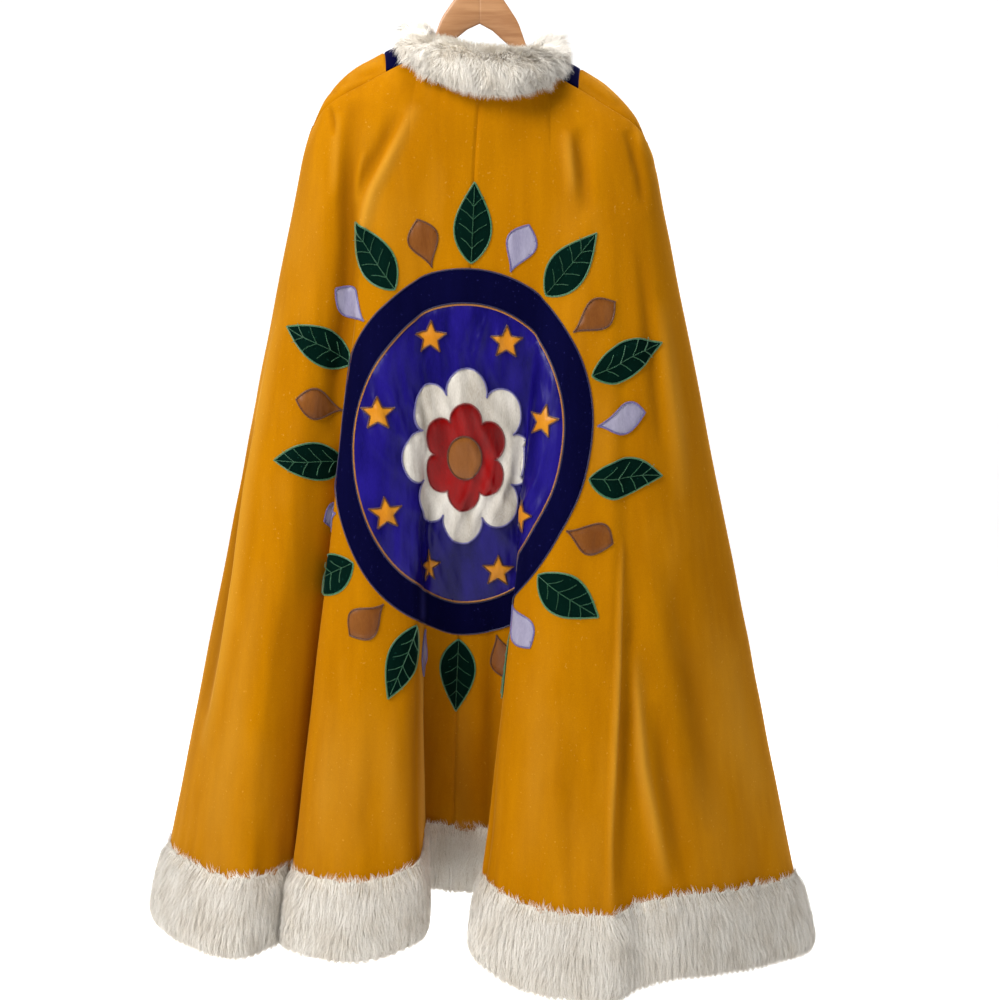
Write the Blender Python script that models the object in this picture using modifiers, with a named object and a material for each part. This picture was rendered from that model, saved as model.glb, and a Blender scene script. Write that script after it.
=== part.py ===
"""King costume cape of gold velvet with a fur collar and fur hem, hung from a wooden hanger.

Metres, +Z up.  The back of the cape faces -Y.  The origin is the saddle of the hanger's hook.
"""

import math

import bmesh
import bpy
import numpy as np
from mathutils import Vector
from mathutils.bvhtree import BVHTree
from mathutils.geometry import delaunay_2d_cdt

# Cloth
CLOTH = 0.002              # thickness of the velvet
APPLIQUE = 0.0012          # thickness of one sewn-on shape
SEAM_GAP = 0.0003          # room between two pieces at a seam
SHOULDER_GAP = 0.0008      # the same at the shoulder seam, which curves
HANG_TILT = 0.045          # drop for each metre towards +X, as the hanger hangs askew

# Heights below the hook's saddle
CHEST_Z = -0.33            # below this level the cloth falls free of the hanger
HEM_Z = -1.44
FUR_DEPTH = 0.113          # height of the fur border

# Section of the cape at the chest, a flattened oval
CHEST_HALF_WIDTH = 0.2555
CHEST_HALF_DEPTH = 0.085
CHEST_SQUARENESS = 2.6

# Fur
PILE = 0.017               # how far the fur stands out from its cloth
FUR_BACKING = 0.004        # how far the border reaches inwards

# Folds, from the left front edge round the back to the right front edge.
# chest: X at the chest.  face: -1 on the back, 1 on the front.
# onset: share of the drop where the fold starts.
# hem_x, hem_y: place at the hem.  rise: height of the hem there above HEM_Z.  pile: share of the fur's depth.
FOLD_COLUMNS = ("name", "chest", "face", "onset", "hem_x", "hem_y", "rise", "pile")
FOLDS = (
    ("front_edge_left", -0.014, 1, 0.0, -0.024, 0.225, 0.010, 0.7),
    ("front_neck_left", -0.043, 1, 0.0, -0.052, 0.236, 0.006, 1.0),
    ("front_side_neck_left", -0.0715, 1, 0.0, -0.082, 0.243, 0.004, 1.0),
    ("side_neck_left", -0.0869, 1, 0.0, -0.099, 0.247, 0.003, 1.0),
    ("neck_point_left", -0.0971, 1, 0.0, -0.112, 0.248, 0.002, 1.0),
    ("band_seam_left", -0.148, 1, 0.0, -0.168, 0.240, 0.000, 1.0),
    ("front_valley_left", -0.176, 1, 0.2, -0.240, 0.182, 0.005, 0.5),
    ("front_flute_left", -0.206, 1, 0.0, -0.345, 0.215, 0.000, 1.0),
    ("front_side_left", -0.238, 1, 0.0, -0.447, 0.130, 0.000, 1.0),
    ("side_left", -0.2555, -1, 0.0, -0.485, 0.030, -0.002, 1.0),
    ("outer_left", -0.238, -1, 0.0, -0.437, -0.075, -0.005, 1.0),
    ("flute_left", -0.205, -1, 0.0, -0.345, -0.140, -0.008, 1.0),
    ("inner_left", -0.181, -1, 0.1, -0.288, -0.085, -0.002, 0.6),
    ("valley_left", -0.162, -1, 0.12, -0.258, -0.010, 0.000, 0.25),
    ("edge_centre_left", -0.147, -1, 0.0, -0.278, -0.095, 0.000, 0.8),
    ("flute_centre_left", -0.122, -1, 0.0, -0.182, -0.158, 0.000, 1.0),
    ("edge_recess_left", -0.0971, -1, 0.0, -0.084, -0.112, 0.026, 0.9),
    ("recess_left", -0.066, -1, 0.3, -0.082, 0.025, 0.048, 0.4),
    ("centre_back", -0.006, -1, 0.3, -0.046, 0.062, 0.038, 0.8),
    ("recess_right", 0.080, -1, 0.22, 0.040, 0.030, 0.038, 0.3),
    ("edge_right", 0.117, -1, 0.0, -0.006, -0.125, 0.012, 0.9),
    ("flute_right", 0.150, -1, 0.0, 0.100, -0.215, -0.015, 1.0),
    ("crease_right", 0.182, -1, 0.0, 0.176, -0.222, -0.015, 1.0),
    ("dip_right", 0.197, -1, 0.0, 0.218, -0.196, -0.004, 0.9),
    ("ridge_right", 0.213, -1, 0.0, 0.272, -0.180, 0.006, 1.0),
    ("outer_right", 0.238, -1, 0.0, 0.412, -0.080, -0.004, 1.0),
    ("side_right", 0.2555, 1, 0.0, 0.492, 0.030, -0.010, 1.0),
    ("front_side_right", 0.238, 1, 0.0, 0.455, 0.130, 0.000, 1.0),
    ("front_flute_right", 0.206, 1, 0.0, 0.345, 0.215, 0.000, 1.0),
    ("front_valley_right", 0.176, 1, 0.2, 0.240, 0.182, 0.005, 0.5),
    ("band_seam_right", 0.148, 1, 0.0, 0.168, 0.240, 0.000, 1.0),
    ("neck_point_right", 0.0971, 1, 0.0, 0.112, 0.248, 0.002, 1.0),
    ("side_neck_right", 0.0869, 1, 0.0, 0.099, 0.247, 0.003, 1.0),
    ("front_side_neck_right", 0.0715, 1, 0.0, 0.082, 0.243, 0.004, 1.0),
    ("front_neck_right", 0.043, 1, 0.0, 0.052, 0.236, 0.006, 1.0),
    ("front_edge_right", 0.014, 1, 0.0, 0.024, 0.225, 0.010, 0.7),
)
FOLD_GROWTH = 1.2          # power of a fold's growth below its onset

# Neck seam on the +X side, from the nape round to the front edge.
# share: of the half width at the chest.  fall: angle of the cloth below the level there.
# stand: how much of the collar stands up inside the neck, where the hanger leaves room for it.
# loft: share of the collar's thickness.  ride: how far the collar is kept off the bending cloth.
# drop: share of the length that the collar falls over the cloth.
NECK = (
    ("nape", 0.00, 0.000, -0.080, -0.200, 78.0, 1.0, 1.0, 0.0, 1.0),
    ("back_neck", 0.20, 0.054, -0.070, -0.192, 66.0, 1.0, 1.0, 0.0, 1.0),
    ("neck_point", 0.38, 0.087, -0.036, -0.176, 42.0, 0.5, 0.8, 0.002, 0.7),
    ("side_neck", 0.34, 0.081, 0.004, -0.1445, 30.0, 0.1, 0.6, 0.005, 0.6),
    ("front_side_neck", 0.28, 0.070, 0.045, -0.174, 46.0, 0.6, 0.8, 0.006, 0.8),
    ("front_neck", 0.16, 0.043, 0.075, -0.210, 72.0, 1.0, 1.0, 0.003, 1.0),
    ("front_edge", 0.055, 0.016, 0.087, -0.232, 80.0, 1.0, 1.0, 0.002, 1.0),
)
NECK_SHIFT = 0.009         # the neck sits this far towards +X on the hanger
NECK_SLIP = 0.10           # and is lower there, for each metre towards +X
NECK_POINTS = 241          # points worked out along the whole neck seam

# Shoulder seam on the +X side, from the neck point to the side.
# Each row: share, x, y, z.
SHOULDER = (
    (0.38, 0.087, -0.036, -0.176),
    (0.70, 0.166, -0.035, -0.219),
    (0.90, 0.219, -0.025, -0.251),
    (1.00, 0.240, -0.006, -0.276),
)

SHOULDER_TURN = 0.97       # past this share the seam turns down into the side seam

# The way the cloth leaves its upper edge, with its reach, on the +X side.  Each row: share, x, y, z.
BACK_LEAN = (
    (0.00, 0.000, -0.030, -0.110),
    (0.20, 0.006, -0.040, -0.100),
    (0.38, 0.016, -0.066, -0.088),
    (0.70, 0.008, -0.070, -0.080),
    (0.90, 0.014, -0.040, -0.060),
    (1.00, 0.020, 0.002, -0.056),
)
FRONT_LEAN = (
    (0.055, 0.000, 0.010, -0.090),
    (0.16, 0.010, 0.030, -0.080),
    (0.28, 0.060, 0.070, -0.050),
    (0.34, 0.110, 0.150, 0.050),
    (0.38, 0.100, 0.240, 0.270),
    (0.70, 0.012, 0.270, 0.330),
    (0.90, 0.014, 0.150, 0.150),
    (1.00, 0.020, 0.002, -0.056),
)

# Facets
COLUMN_WIDTH = 0.042       # of the facets at the hem, about
CHEST_COLUMN_WIDTH = 0.028  # of the facets at the chest, about
SHOULDER_ROWS = 6
SHOULDER_CROWDING = 1.4    # the rows lie closer towards the shoulder
DROP_ROWS = 10

# Fur border, top to bottom.  height: share of its height.  stand: share of the pile.  back: of the backing.
BORDER_COLUMNS = ("height", "stand", "back")
BORDER = ((0.0, 0.12, 0.25), (0.12, 0.8, 1.0), (0.55, 1.0, 1.0), (0.88, 0.95, 1.0), (1.0, 0.6, 0.7))

# Collar, a folded fur strip.  Each point: up along the cloth past the neck seam, out from the neck.
COLLAR_SECTION = (
    (0.001, -0.009), (0.016, -0.013), (0.027, -0.008), (0.032, 0.004), (0.027, 0.018), (0.012, 0.027),
    (-0.012, 0.030), (-0.032, 0.025), (-0.042, 0.014), (-0.036, 0.0013), (-0.018, 0.0028), (-0.002, 0.007),
    (0.012, 0.008), (0.012, 0.004), (0.001, 0.003),
)
COLLAR_LIFT = 0.0022       # the collar's stand begins this far past the neck seam
COLLAR_SKIN = 0.01         # points further out than this are on the fur's outer side
COLLAR_STEPS = 40
COLLAR_REACH = 0.06        # how far out the cloth under the collar's fall is looked for
COLLAR_SINK = 0.006        # how far in the fall follows it

# Hanger.  Its arms lie under the shoulders' cloth.
HANGER_THICKNESS = 0.014
HANGER_ROUNDING = 0.003
HANGER_ROOM = 0.0027       # from the middle of the cloth down to the arm that it rests on
# Each row: x, top, bottom.
HANGER_CENTRE = (
    (0.000, -0.056, -0.118),
    (0.018, -0.062, -0.127),
    (0.037, -0.086, -0.143),
    (0.056, -0.114, -0.159),
    (0.066, -0.145, -0.178),
    (0.080, -0.166, -0.193),
)
# Each pair: x, height.
ARM = ((0.105, 0.034), (0.126, 0.033), (0.147, 0.031), (0.168, 0.030), (0.189, 0.027), (0.208, 0.020))
HOOK_WIRE = 0.002          # radius of the wire
HOOK_RADIUS = 0.022        # of the wire's middle line
HOOK_TURN = (-15, 195, 15)  # start, end and step of the bow, in degrees
HOOK_NECK = ((0.0, -0.048), (0.004, -0.042), (0.014, -0.034))

# Applique medallion, in the back's own cloth: across from the centre-back seam, down from the chest.
MEDALLION_DOWN = 0.405     # its middle
MEDALLION_STRETCH = 1.28   # height over width
FIELD_RADIUS = 0.168
RING_WIDTH = 0.038
ROSETTE_RADIUS = 0.098
ROSETTE_PETALS = 8
HEART_RADIUS = 0.060
HEART_PETALS = 6
BUTTON_RADIUS = 0.024
STAR_COUNT = 8
STAR_RADIUS = 0.024
STAR_POINTS = 5
STAR_NOTCH = 0.45          # inner radius over outer radius
STAR_PLACE = 0.139         # their distance from the middle
LEAF_COUNT = 12
LEAF_LENGTH = 0.112
LEAF_HALF_WIDTH = 0.026
BUD_LENGTH = 0.070
BUD_HALF_WIDTH = 0.021
RING_ROOM = 0.0008         # left free on each side of the line where the field and the ring meet
APPLIQUE_ROOM = 0.006      # between the ring and the leaves round it

# Colours, as seen, and roughness
GOLD_VELVET = ("gold_velvet", (194, 125, 8), 0.85, 0.0)
NAVY_VELVET = ("navy_velvet", (8, 8, 40), 0.85, 0.0)
WHITE_FUR = ("white_fur", (214, 206, 192), 0.95, 0.0)
WOOD = ("wood", (192, 140, 97), 0.5, 0.0)
STEEL = ("steel", (190, 190, 190), 0.3, 1.0)
PURPLE_SATIN = ("purple_satin", (34, 30, 108), 0.4, 0.0)
WHITE_SATIN = ("white_satin", (215, 208, 195), 0.4, 0.0)
RED_SATIN = ("red_satin", (145, 22, 21), 0.4, 0.0)
GOLD_SATIN = ("gold_satin", (208, 137, 39), 0.4, 0.0)
BRONZE_SATIN = ("bronze_satin", (136, 83, 39), 0.4, 0.0)
LILAC_SATIN = ("lilac_satin", (160, 156, 178), 0.4, 0.0)
GREEN_VELVET = ("green_velvet", (8, 42, 34), 0.85, 0.0)


def column(table, columns, name):
    """One column of a table."""
    return np.array([row[columns.index(name)] for row in table])


def smooth_curve(stations, values, places, free=False):
    """Values at places on a smooth curve through the stations, which swings past them only if free."""
    stations = np.asarray(stations, float)
    values = np.asarray(values, float)
    places = np.asarray(places, float)
    step = np.diff(stations)[:, None]
    slope = np.diff(values, axis=0) / step
    before, after = slope[:-1], slope[1:]
    if free:
        inner = (before * step[1:] + after * step[:-1]) / (step[:-1] + step[1:])
    else:
        weight_before = step[:-1] + 2 * step[1:]
        weight_after = 2 * step[:-1] + step[1:]
        same_way = before * after > 0
        blend = np.where(same_way, weight_before * after + weight_after * before, 1.0)
        inner = np.where(same_way, (weight_before + weight_after) * before * after / blend, 0.0)
    tangent = np.vstack([slope[:1], inner, slope[-1:]])
    index = np.clip(np.searchsorted(stations, places, side="right") - 1, 0, len(step) - 1)
    h = step[index]
    s = (places - stations[index])[:, None] / h
    start = (1 + 2 * s) * (1 - s) ** 2 * values[index] + s * (1 - s) ** 2 * h * tangent[index]
    end = s * s * (3 - 2 * s) * values[index + 1] + s * s * (s - 1) * h * tangent[index + 1]
    return start + end


def unit(vectors):
    """Vectors of length one."""
    return vectors / np.linalg.norm(vectors, axis=-1, keepdims=True)


def tilted(points):
    """Points of the hanging cape, lower towards +X."""
    points = np.array(points, float)
    points[..., 2] -= HANG_TILT * points[..., 0]
    return points


# The cape's surface

def fold(name):
    """A column of the fold table."""
    return column(FOLDS, FOLD_COLUMNS, name)


FOLD_NAMES = [row[0] for row in FOLDS]
HEM_STEPS = np.hypot(np.diff(fold("hem_x").astype(float)), np.diff(fold("hem_y").astype(float)))
FOLD_PLACES = np.concatenate([[0.0], np.cumsum(HEM_STEPS)])


def place_of(name):
    """Where a fold line lies along the hem."""
    return FOLD_PLACES[FOLD_NAMES.index(name)]


def fold_lines(drop):
    """Each fold line's point at a share of the drop from the chest to the hem."""
    chest = fold("chest").astype(float)
    share = np.clip(np.abs(chest) / CHEST_HALF_WIDTH, 0.0, 1.0)
    depth = CHEST_HALF_DEPTH * (1 - share ** CHEST_SQUARENESS) ** (1 / CHEST_SQUARENESS)
    chest_y = fold("face").astype(float) * depth
    onset = fold("onset").astype(float)
    growth = np.clip((drop - onset) / (1 - onset), 0.0, None) ** np.where(onset > 0, FOLD_GROWTH, 1.0)
    x = chest + (fold("hem_x").astype(float) - chest) * drop
    y = chest_y + (fold("hem_y").astype(float) - chest_y) * growth
    z = CHEST_Z + (HEM_Z + fold("rise").astype(float) - CHEST_Z) * drop
    return np.column_stack([x, y, z])


def section(drop, places):
    """The cape's section at a share of the drop, at places along the hem."""
    return smooth_curve(FOLD_PLACES, fold_lines(drop), places)


def slipped(shares, points):
    """Points of the upper edge, moved towards +X and down that way, most at the neck."""
    amount = (1 - np.abs(shares))[:, None]
    moved = points + np.array([NECK_SHIFT, 0.0, 0.0]) * amount
    moved[:, 2:] -= NECK_SLIP * points[:, :1] * amount
    return moved


def neck_line(count):
    """The neck seam from the left front edge to the right one: the table's columns from share on."""
    right = np.array([row[1:] for row in NECK])
    left = right[:0:-1] * np.where(np.arange(right.shape[1]) < 2, -1, 1)
    rows = np.vstack([left, right])
    rows[:, 1:4] = slipped(rows[:, 0], rows[:, 1:4])
    steps = np.linalg.norm(np.diff(rows[:, 1:4], axis=0), axis=1)
    stations = np.concatenate([[0.0], np.cumsum(steps)])
    places = np.linspace(0.0, stations[-1], count)
    line = smooth_curve(stations, rows, places, free=True)
    line[:, 0] = smooth_curve(stations, rows[:, :1], places)[:, 0]
    return line


def upper_edge(face, shares):
    """Points of the back's or the fronts' upper edge, at signed shares of the half width."""
    line = neck_line(NECK_POINTS)
    corners = int(np.argmin(line[:, 0])), int(np.argmax(line[:, 0]))
    seam = np.array(SHOULDER)
    points = np.empty((len(shares), 3))
    if face == "back":
        part = line[corners[0]:corners[1] + 1]
    else:
        part = np.vstack([line[corners[0]::-1], line[:corners[1] - 1:-1]])
    for axis in range(3):
        points[:, axis] = np.interp(shares, part[:, 0], part[:, axis + 1])
    for side in (-1, 1):
        on_seam = shares * side >= seam[0, 0]
        found = smooth_curve(seam[:, 0], seam[:, 1:], shares[on_seam] * side)
        points[on_seam] = slipped(shares[on_seam], found * np.array([side, 1, 1]))
    return points


def lean(face, shares):
    """The way the cloth leaves that edge."""
    rows = np.array(BACK_LEAN if face == "back" else FRONT_LEAN)
    ways = smooth_curve(rows[:, 0], rows[:, 1:], np.abs(shares))
    ways[:, 0] *= np.sign(shares)
    return ways


def shoulder(face, places):
    """Rows of a panel from its upper edge down to the chest."""
    chest = section(0.0, places)
    fall = unit(section(0.02, places) - chest)
    shares = np.clip(chest[:, 0] / CHEST_HALF_WIDTH, -1.0, 1.0)
    edge = upper_edge(face, shares)
    start_way = lean(face, shares)
    reach = np.linalg.norm(chest - edge, axis=1, keepdims=True)
    rows = []
    for q in np.linspace(0.0, 1.0, SHOULDER_ROWS + 1)[:-1] ** SHOULDER_CROWDING:
        start = (1 + 2 * q) * (1 - q) ** 2 * edge + q * (1 - q) ** 2 * start_way
        end = q * q * (3 - 2 * q) * chest + q * q * (q - 1) * fall * reach
        rows.append(start + end)
    return rows


BORDER_DROP = 1 - FUR_DEPTH / (CHEST_Z - HEM_Z)      # share of the drop where the fur starts
GAP_DROP = SEAM_GAP / (CHEST_Z - HEM_Z)


def places_between(first, last):
    """Places along the hem from one fold line to another, with steps between the lines."""
    places = []
    for line in range(FOLD_NAMES.index(first), FOLD_NAMES.index(last)):
        chest_step = abs(FOLDS[line + 1][1] - FOLDS[line][1])
        steps = max(1, round(HEM_STEPS[line] / COLUMN_WIDTH), round(chest_step / CHEST_COLUMN_WIDTH))
        places += list(np.linspace(FOLD_PLACES[line], FOLD_PLACES[line + 1], steps + 1)[:-1])
    return np.array(places + [place_of(last)])


def panel_grid(face, places):
    """The middle surface of the velvet: rows from its upper edge to the fur."""
    rows = shoulder(face, places)
    for drop in np.linspace(0.0, BORDER_DROP, DROP_ROWS + 1):
        rows.append(section(drop, places))
    return np.array(rows)


def bisected(grid, axis):
    """The way along a grid at each of its points, midway between the steps to its two neighbours."""
    steps = unit(np.diff(grid, axis=axis))
    first = np.take(steps, [0], axis=axis)
    last = np.take(steps, [-1], axis=axis)
    return np.concatenate([first, steps], axis=axis) + np.concatenate([steps, last], axis=axis)


def outward(grid):
    """Unit normals of a grid of points, away from the wearer."""
    return unit(np.cross(bisected(grid, 0), bisected(grid, 1)))


def shoulder_normals(panels, side):
    """Sets the normals along a shoulder seam, the same for the back and the front."""
    shares = [side * grid[SHOULDER_ROWS, :, 0] / CHEST_HALF_WIDTH for grid, normals in panels]
    edges = [np.array(normals[0]) for grid, normals in panels]
    for at, (grid, normals) in zip(shares, panels):
        on_seam = at >= SHOULDER[0][0]
        common = np.zeros((int(on_seam.sum()), 3))
        for share, edge in zip(shares, edges):
            order = np.argsort(share)
            order = order[(share[order] < SHOULDER_TURN) | (share[order] > 1 - GAP_DROP)]
            for axis in range(3):
                common[:, axis] += np.interp(at[on_seam], share[order], edge[order, axis])
        normals[0, on_seam] = unit(common)


def side_normals(first, second):
    """Sets the normals of a side seam, the last column of one panel and the first of the other."""
    grid, normals = first
    next_grid, next_normals = second
    across = unit(next_grid[:, 1] - next_grid[:, 0]) + unit(grid[:, -1] - grid[:, -2])
    across[0] = across[1]
    down = bisected(grid[:, -1], 0)
    common = unit(np.cross(down, across))
    normals[:, -1] = common
    next_normals[:, 0] = common


def level(normals):
    """Normals turned level."""
    flat = np.array(normals)
    flat[..., 2] = 0.0
    return unit(flat)


# Meshes

def material(finish):
    """A material from its name, colour as seen, roughness and metallic value."""
    name, seen, roughness, metallic = finish
    made = bpy.data.materials.get(name) or bpy.data.materials.new(name)
    made.use_nodes = True
    shader = made.node_tree.nodes["Principled BSDF"]
    linear = [(value / 255) ** 2.2 for value in seen]
    shader.inputs["Base Color"].default_value = (*linear, 1.0)
    shader.inputs["Roughness"].default_value = roughness
    shader.inputs["Metallic"].default_value = metallic
    made.diffuse_color = (*linear, 1.0)
    return made


def add_object(name, data, finish):
    """A named part with its material, in the cape's collection."""
    data.materials.append(material(finish))
    made = bpy.data.objects.new(name, data)
    CAPE.objects.link(made)
    return made


def add_mesh(name, points, faces, finish):
    """A closed mesh with its faces pointing out."""
    mesh = bpy.data.meshes.new(name)
    mesh.from_pydata([tuple(point) for point in tilted(points)], [], faces)
    body = bmesh.new()
    body.from_mesh(mesh)
    bmesh.ops.recalc_face_normals(body, faces=body.faces)
    body.to_mesh(mesh)
    body.free()
    return add_object(name, mesh, finish)


def wall(name, outer, inner, finish):
    """A wall between two grids of points, closed along its four edges."""
    rows, columns = outer.shape[:2]
    count = rows * columns
    number = np.arange(count).reshape(rows, columns)
    corner = number[:-1, :-1].ravel()
    right = number[:-1, 1:].ravel()
    below = number[1:, :-1].ravel()
    far = number[1:, 1:].ravel()
    upper = np.column_stack([corner, right, far])
    lower = np.column_stack([corner, far, below])
    faces = np.vstack([upper, lower]).tolist()
    faces += [[a + count, c + count, b + count] for a, b, c in faces]
    rim = np.concatenate([number[0, :-1], number[:-1, -1], number[-1, :0:-1], number[:0:-1, 0]])
    for a, b in zip(rim.tolist(), np.roll(rim, -1).tolist()):
        low, high = min(a, b), max(a, b)
        faces.append([low, low + count, high + count])
        faces.append([low, high + count, high])
    return add_mesh(name, np.vstack([outer.reshape(-1, 3), inner.reshape(-1, 3)]), faces, finish)


def drawn_in(grid, top):
    """A grid with its first and last columns, and its top row if asked, moved in for the seams."""
    made = np.array(grid)
    half = SEAM_GAP / 2
    made[:, 0] += unit(grid[:, 1] - grid[:, 0]) * half
    made[:, -1] += unit(grid[:, -2] - grid[:, -1]) * half
    if top:
        half = SHOULDER_GAP / 2
        made[0] += unit(grid[1] - grid[0]) * half
        made[0, 0] = grid[0, 0] + unit(grid[1, 1] - grid[0, 0]) * half
        made[0, -1] = grid[0, -1] + unit(grid[1, -2] - grid[0, -1]) * half
    return made


# Velvet panels

def velvet(name, grid, normals, finish, turned=False):
    """A velvet panel round its middle surface.  turned: its facets are cut along their other diagonal."""
    normals = np.array(normals)
    normals[-1] = level(normals[-1:])[0]
    middle = drawn_in(grid, True)
    outer = middle + normals * CLOTH / 2
    inner = middle - normals * CLOTH / 2
    if turned:
        outer = outer[:, ::-1]
        inner = inner[:, ::-1]
    return wall(name, outer, inner, finish)


class Surfaces:
    """The middle surfaces of the back and the two fronts, with normals that agree at their seams."""

    def __init__(self):
        stretches = {"front_left": ("front_edge_left", "side_left"), "back": ("side_left", "side_right"),
                     "front_right": ("side_right", "front_edge_right")}
        self.places = {name: places_between(*ends) for name, ends in stretches.items()}
        self.grids = {name: panel_grid(name.split("_")[0], places) for name, places in self.places.items()}
        self.normals = {name: outward(grid) for name, grid in self.grids.items()}
        panels = {name: (grid, self.normals[name]) for name, grid in self.grids.items()}
        side_normals(panels["front_left"], panels["back"])
        side_normals(panels["back"], panels["front_right"])
        shoulder_normals([panels["back"], panels["front_left"]], -1)
        shoulder_normals([panels["back"], panels["front_right"]], 1)

    def column_of(self, surface, line):
        """The column of a surface that follows a fold line."""
        return int(np.argmin(np.abs(self.places[surface] - place_of(line))))

    def piece(self, surface, first, last):
        """The part of a surface from one column to another, with its normals."""
        return self.grids[surface][:, first:last + 1], self.normals[surface][:, first:last + 1]

    def outer_facets(self):
        """The outer facets of all the velvet, as a tree to look them up in."""
        points = []
        faces = []
        for name, grid in self.grids.items():
            rows, columns = grid.shape[:2]
            number = np.arange(rows * columns).reshape(rows, columns) + len(points)
            points += (grid + self.normals[name] * CLOTH / 2).reshape(-1, 3).tolist()
            corners = (number[:-1, :-1], number[:-1, 1:], number[1:, 1:], number[1:, :-1])
            faces += np.stack(corners, axis=-1).reshape(-1, 4).tolist()
        return BVHTree.FromPolygons(points, faces)


def velvet_panels(surfaces):
    """The backs, the fronts and the navy borders of the fronts."""
    end = len(surfaces.places["back"]) - 1
    middle = surfaces.column_of("back", "centre_back")
    velvet("back_left", *surfaces.piece("back", 0, middle), GOLD_VELVET)
    velvet("back_right", *surfaces.piece("back", middle, end), GOLD_VELVET)
    end = len(surfaces.places["front_left"]) - 1
    seam = surfaces.column_of("front_left", "band_seam_left")
    velvet("front_band_left", *surfaces.piece("front_left", 0, seam), NAVY_VELVET, turned=True)
    velvet("front_left", *surfaces.piece("front_left", seam, end), GOLD_VELVET, turned=True)
    end = len(surfaces.places["front_right"]) - 1
    seam = surfaces.column_of("front_right", "band_seam_right")
    velvet("front_right", *surfaces.piece("front_right", 0, seam), GOLD_VELVET)
    velvet("front_band_right", *surfaces.piece("front_right", seam, end), NAVY_VELVET)


# Fur

BORDER_STRETCHES = (
    ("hem_fur_front_left", "front_edge_left", "side_left"),
    ("hem_fur_back_left", "side_left", "centre_back"),
    ("hem_fur_back_right", "centre_back", "side_right"),
    ("hem_fur_front_right", "side_right", "front_edge_right"),
)


def fur_borders():
    """The hem's fur, thinner where the folds press it."""
    places = places_between("front_edge_left", "front_edge_right")
    heights = column(BORDER, BORDER_COLUMNS, "height")
    drops = BORDER_DROP + GAP_DROP + (1 - BORDER_DROP - GAP_DROP) * heights
    grid = np.array([section(drop, places) for drop in drops])
    normals = level(outward(grid))
    share = smooth_curve(FOLD_PLACES, fold("pile").astype(float)[:, None], places)[None, :, :]
    stand = column(BORDER, BORDER_COLUMNS, "stand")[:, None, None] * PILE * share
    back = column(BORDER, BORDER_COLUMNS, "back")[:, None, None] * FUR_BACKING
    for name, first, last in BORDER_STRETCHES:
        start, end = (int(np.argmin(np.abs(places - place_of(line)))) for line in (first, last))
        span = slice(start, end + 1)
        middle = drawn_in(grid[:, span], False)
        outer = middle + normals[:, span] * stand[:, span]
        wall(name, outer, middle - normals[:, span] * back, WHITE_FUR)


def collar(velvet_tree):
    """The folded fur collar round the neck, open at the front, its fall lying on the velvet."""
    line = neck_line(COLLAR_STEPS + 1)
    seam = line[:, 1:4]
    fall = np.radians(line[:, 4])[:, None]
    rise = np.array([0.0, 0.0, 1.0])
    away = unit(np.cross(np.gradient(seam, axis=0), rise))
    ups = rise * np.sin(fall) - away * np.cos(fall)
    outs = rise * np.cos(fall) + away * np.sin(fall)
    points = []
    for origin, up, out, (stand, loft, ride, drop) in zip(seam, ups, outs, line[:, 5:]):
        for u, o in COLLAR_SECTION:
            u *= stand if u > 0 else drop
            if o < 0:
                o *= stand
            elif o > COLLAR_SKIN:
                o *= loft
            if u > 0:
                points.append(origin + up * (COLLAR_LIFT + ride + u) + out * o)
                continue
            look = origin + up * u + out * COLLAR_REACH
            found = velvet_tree.ray_cast(Vector(look), Vector(-out), 2 * COLLAR_REACH)
            lying = COLLAR_REACH - found[3] if found[3] is not None else 0.0
            points.append(origin + up * u + out * (o + ride + max(lying, -COLLAR_SINK)))
    ring = len(COLLAR_SECTION)
    faces = []
    for station in range(COLLAR_STEPS):
        for side in range(ring):
            a = station * ring + side
            b = station * ring + (side + 1) % ring
            faces.append([a, b, b + ring])
            faces.append([a, b + ring, a + ring])
    faces.append(list(range(ring)))
    faces.append(list(range(COLLAR_STEPS * ring, (COLLAR_STEPS + 1) * ring)))
    return add_mesh("collar", points, faces, WHITE_FUR)


# Hanger

def arm_tops(grid, stations):
    """Heights of the arm's top under the cloth, at stations along X."""
    half = HANGER_THICKNESS / 2
    rounding = [(half - HANGER_ROUNDING, 0.0), (half - 0.3 * HANGER_ROUNDING, 0.3 * HANGER_ROUNDING)]
    xs = []
    tops = []
    for line in grid.transpose(1, 0, 2):
        over = line[:SHOULDER_ROWS + 1]
        if over[0, 1] < -half and over[-1, 1] > half:
            places = [(side * y, drop) for y, drop in rounding for side in (-1, 1)]
            heights = [np.interp(y, over[:, 1], over[:, 2]) + drop for y, drop in places]
            xs.append(float(np.interp(0.0, over[:, 1], over[:, 0])))
            tops.append(min(heights))
    order = np.argsort(xs)
    return np.interp(stations, np.array(xs)[order], np.array(tops)[order]) - HANGER_ROOM


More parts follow.
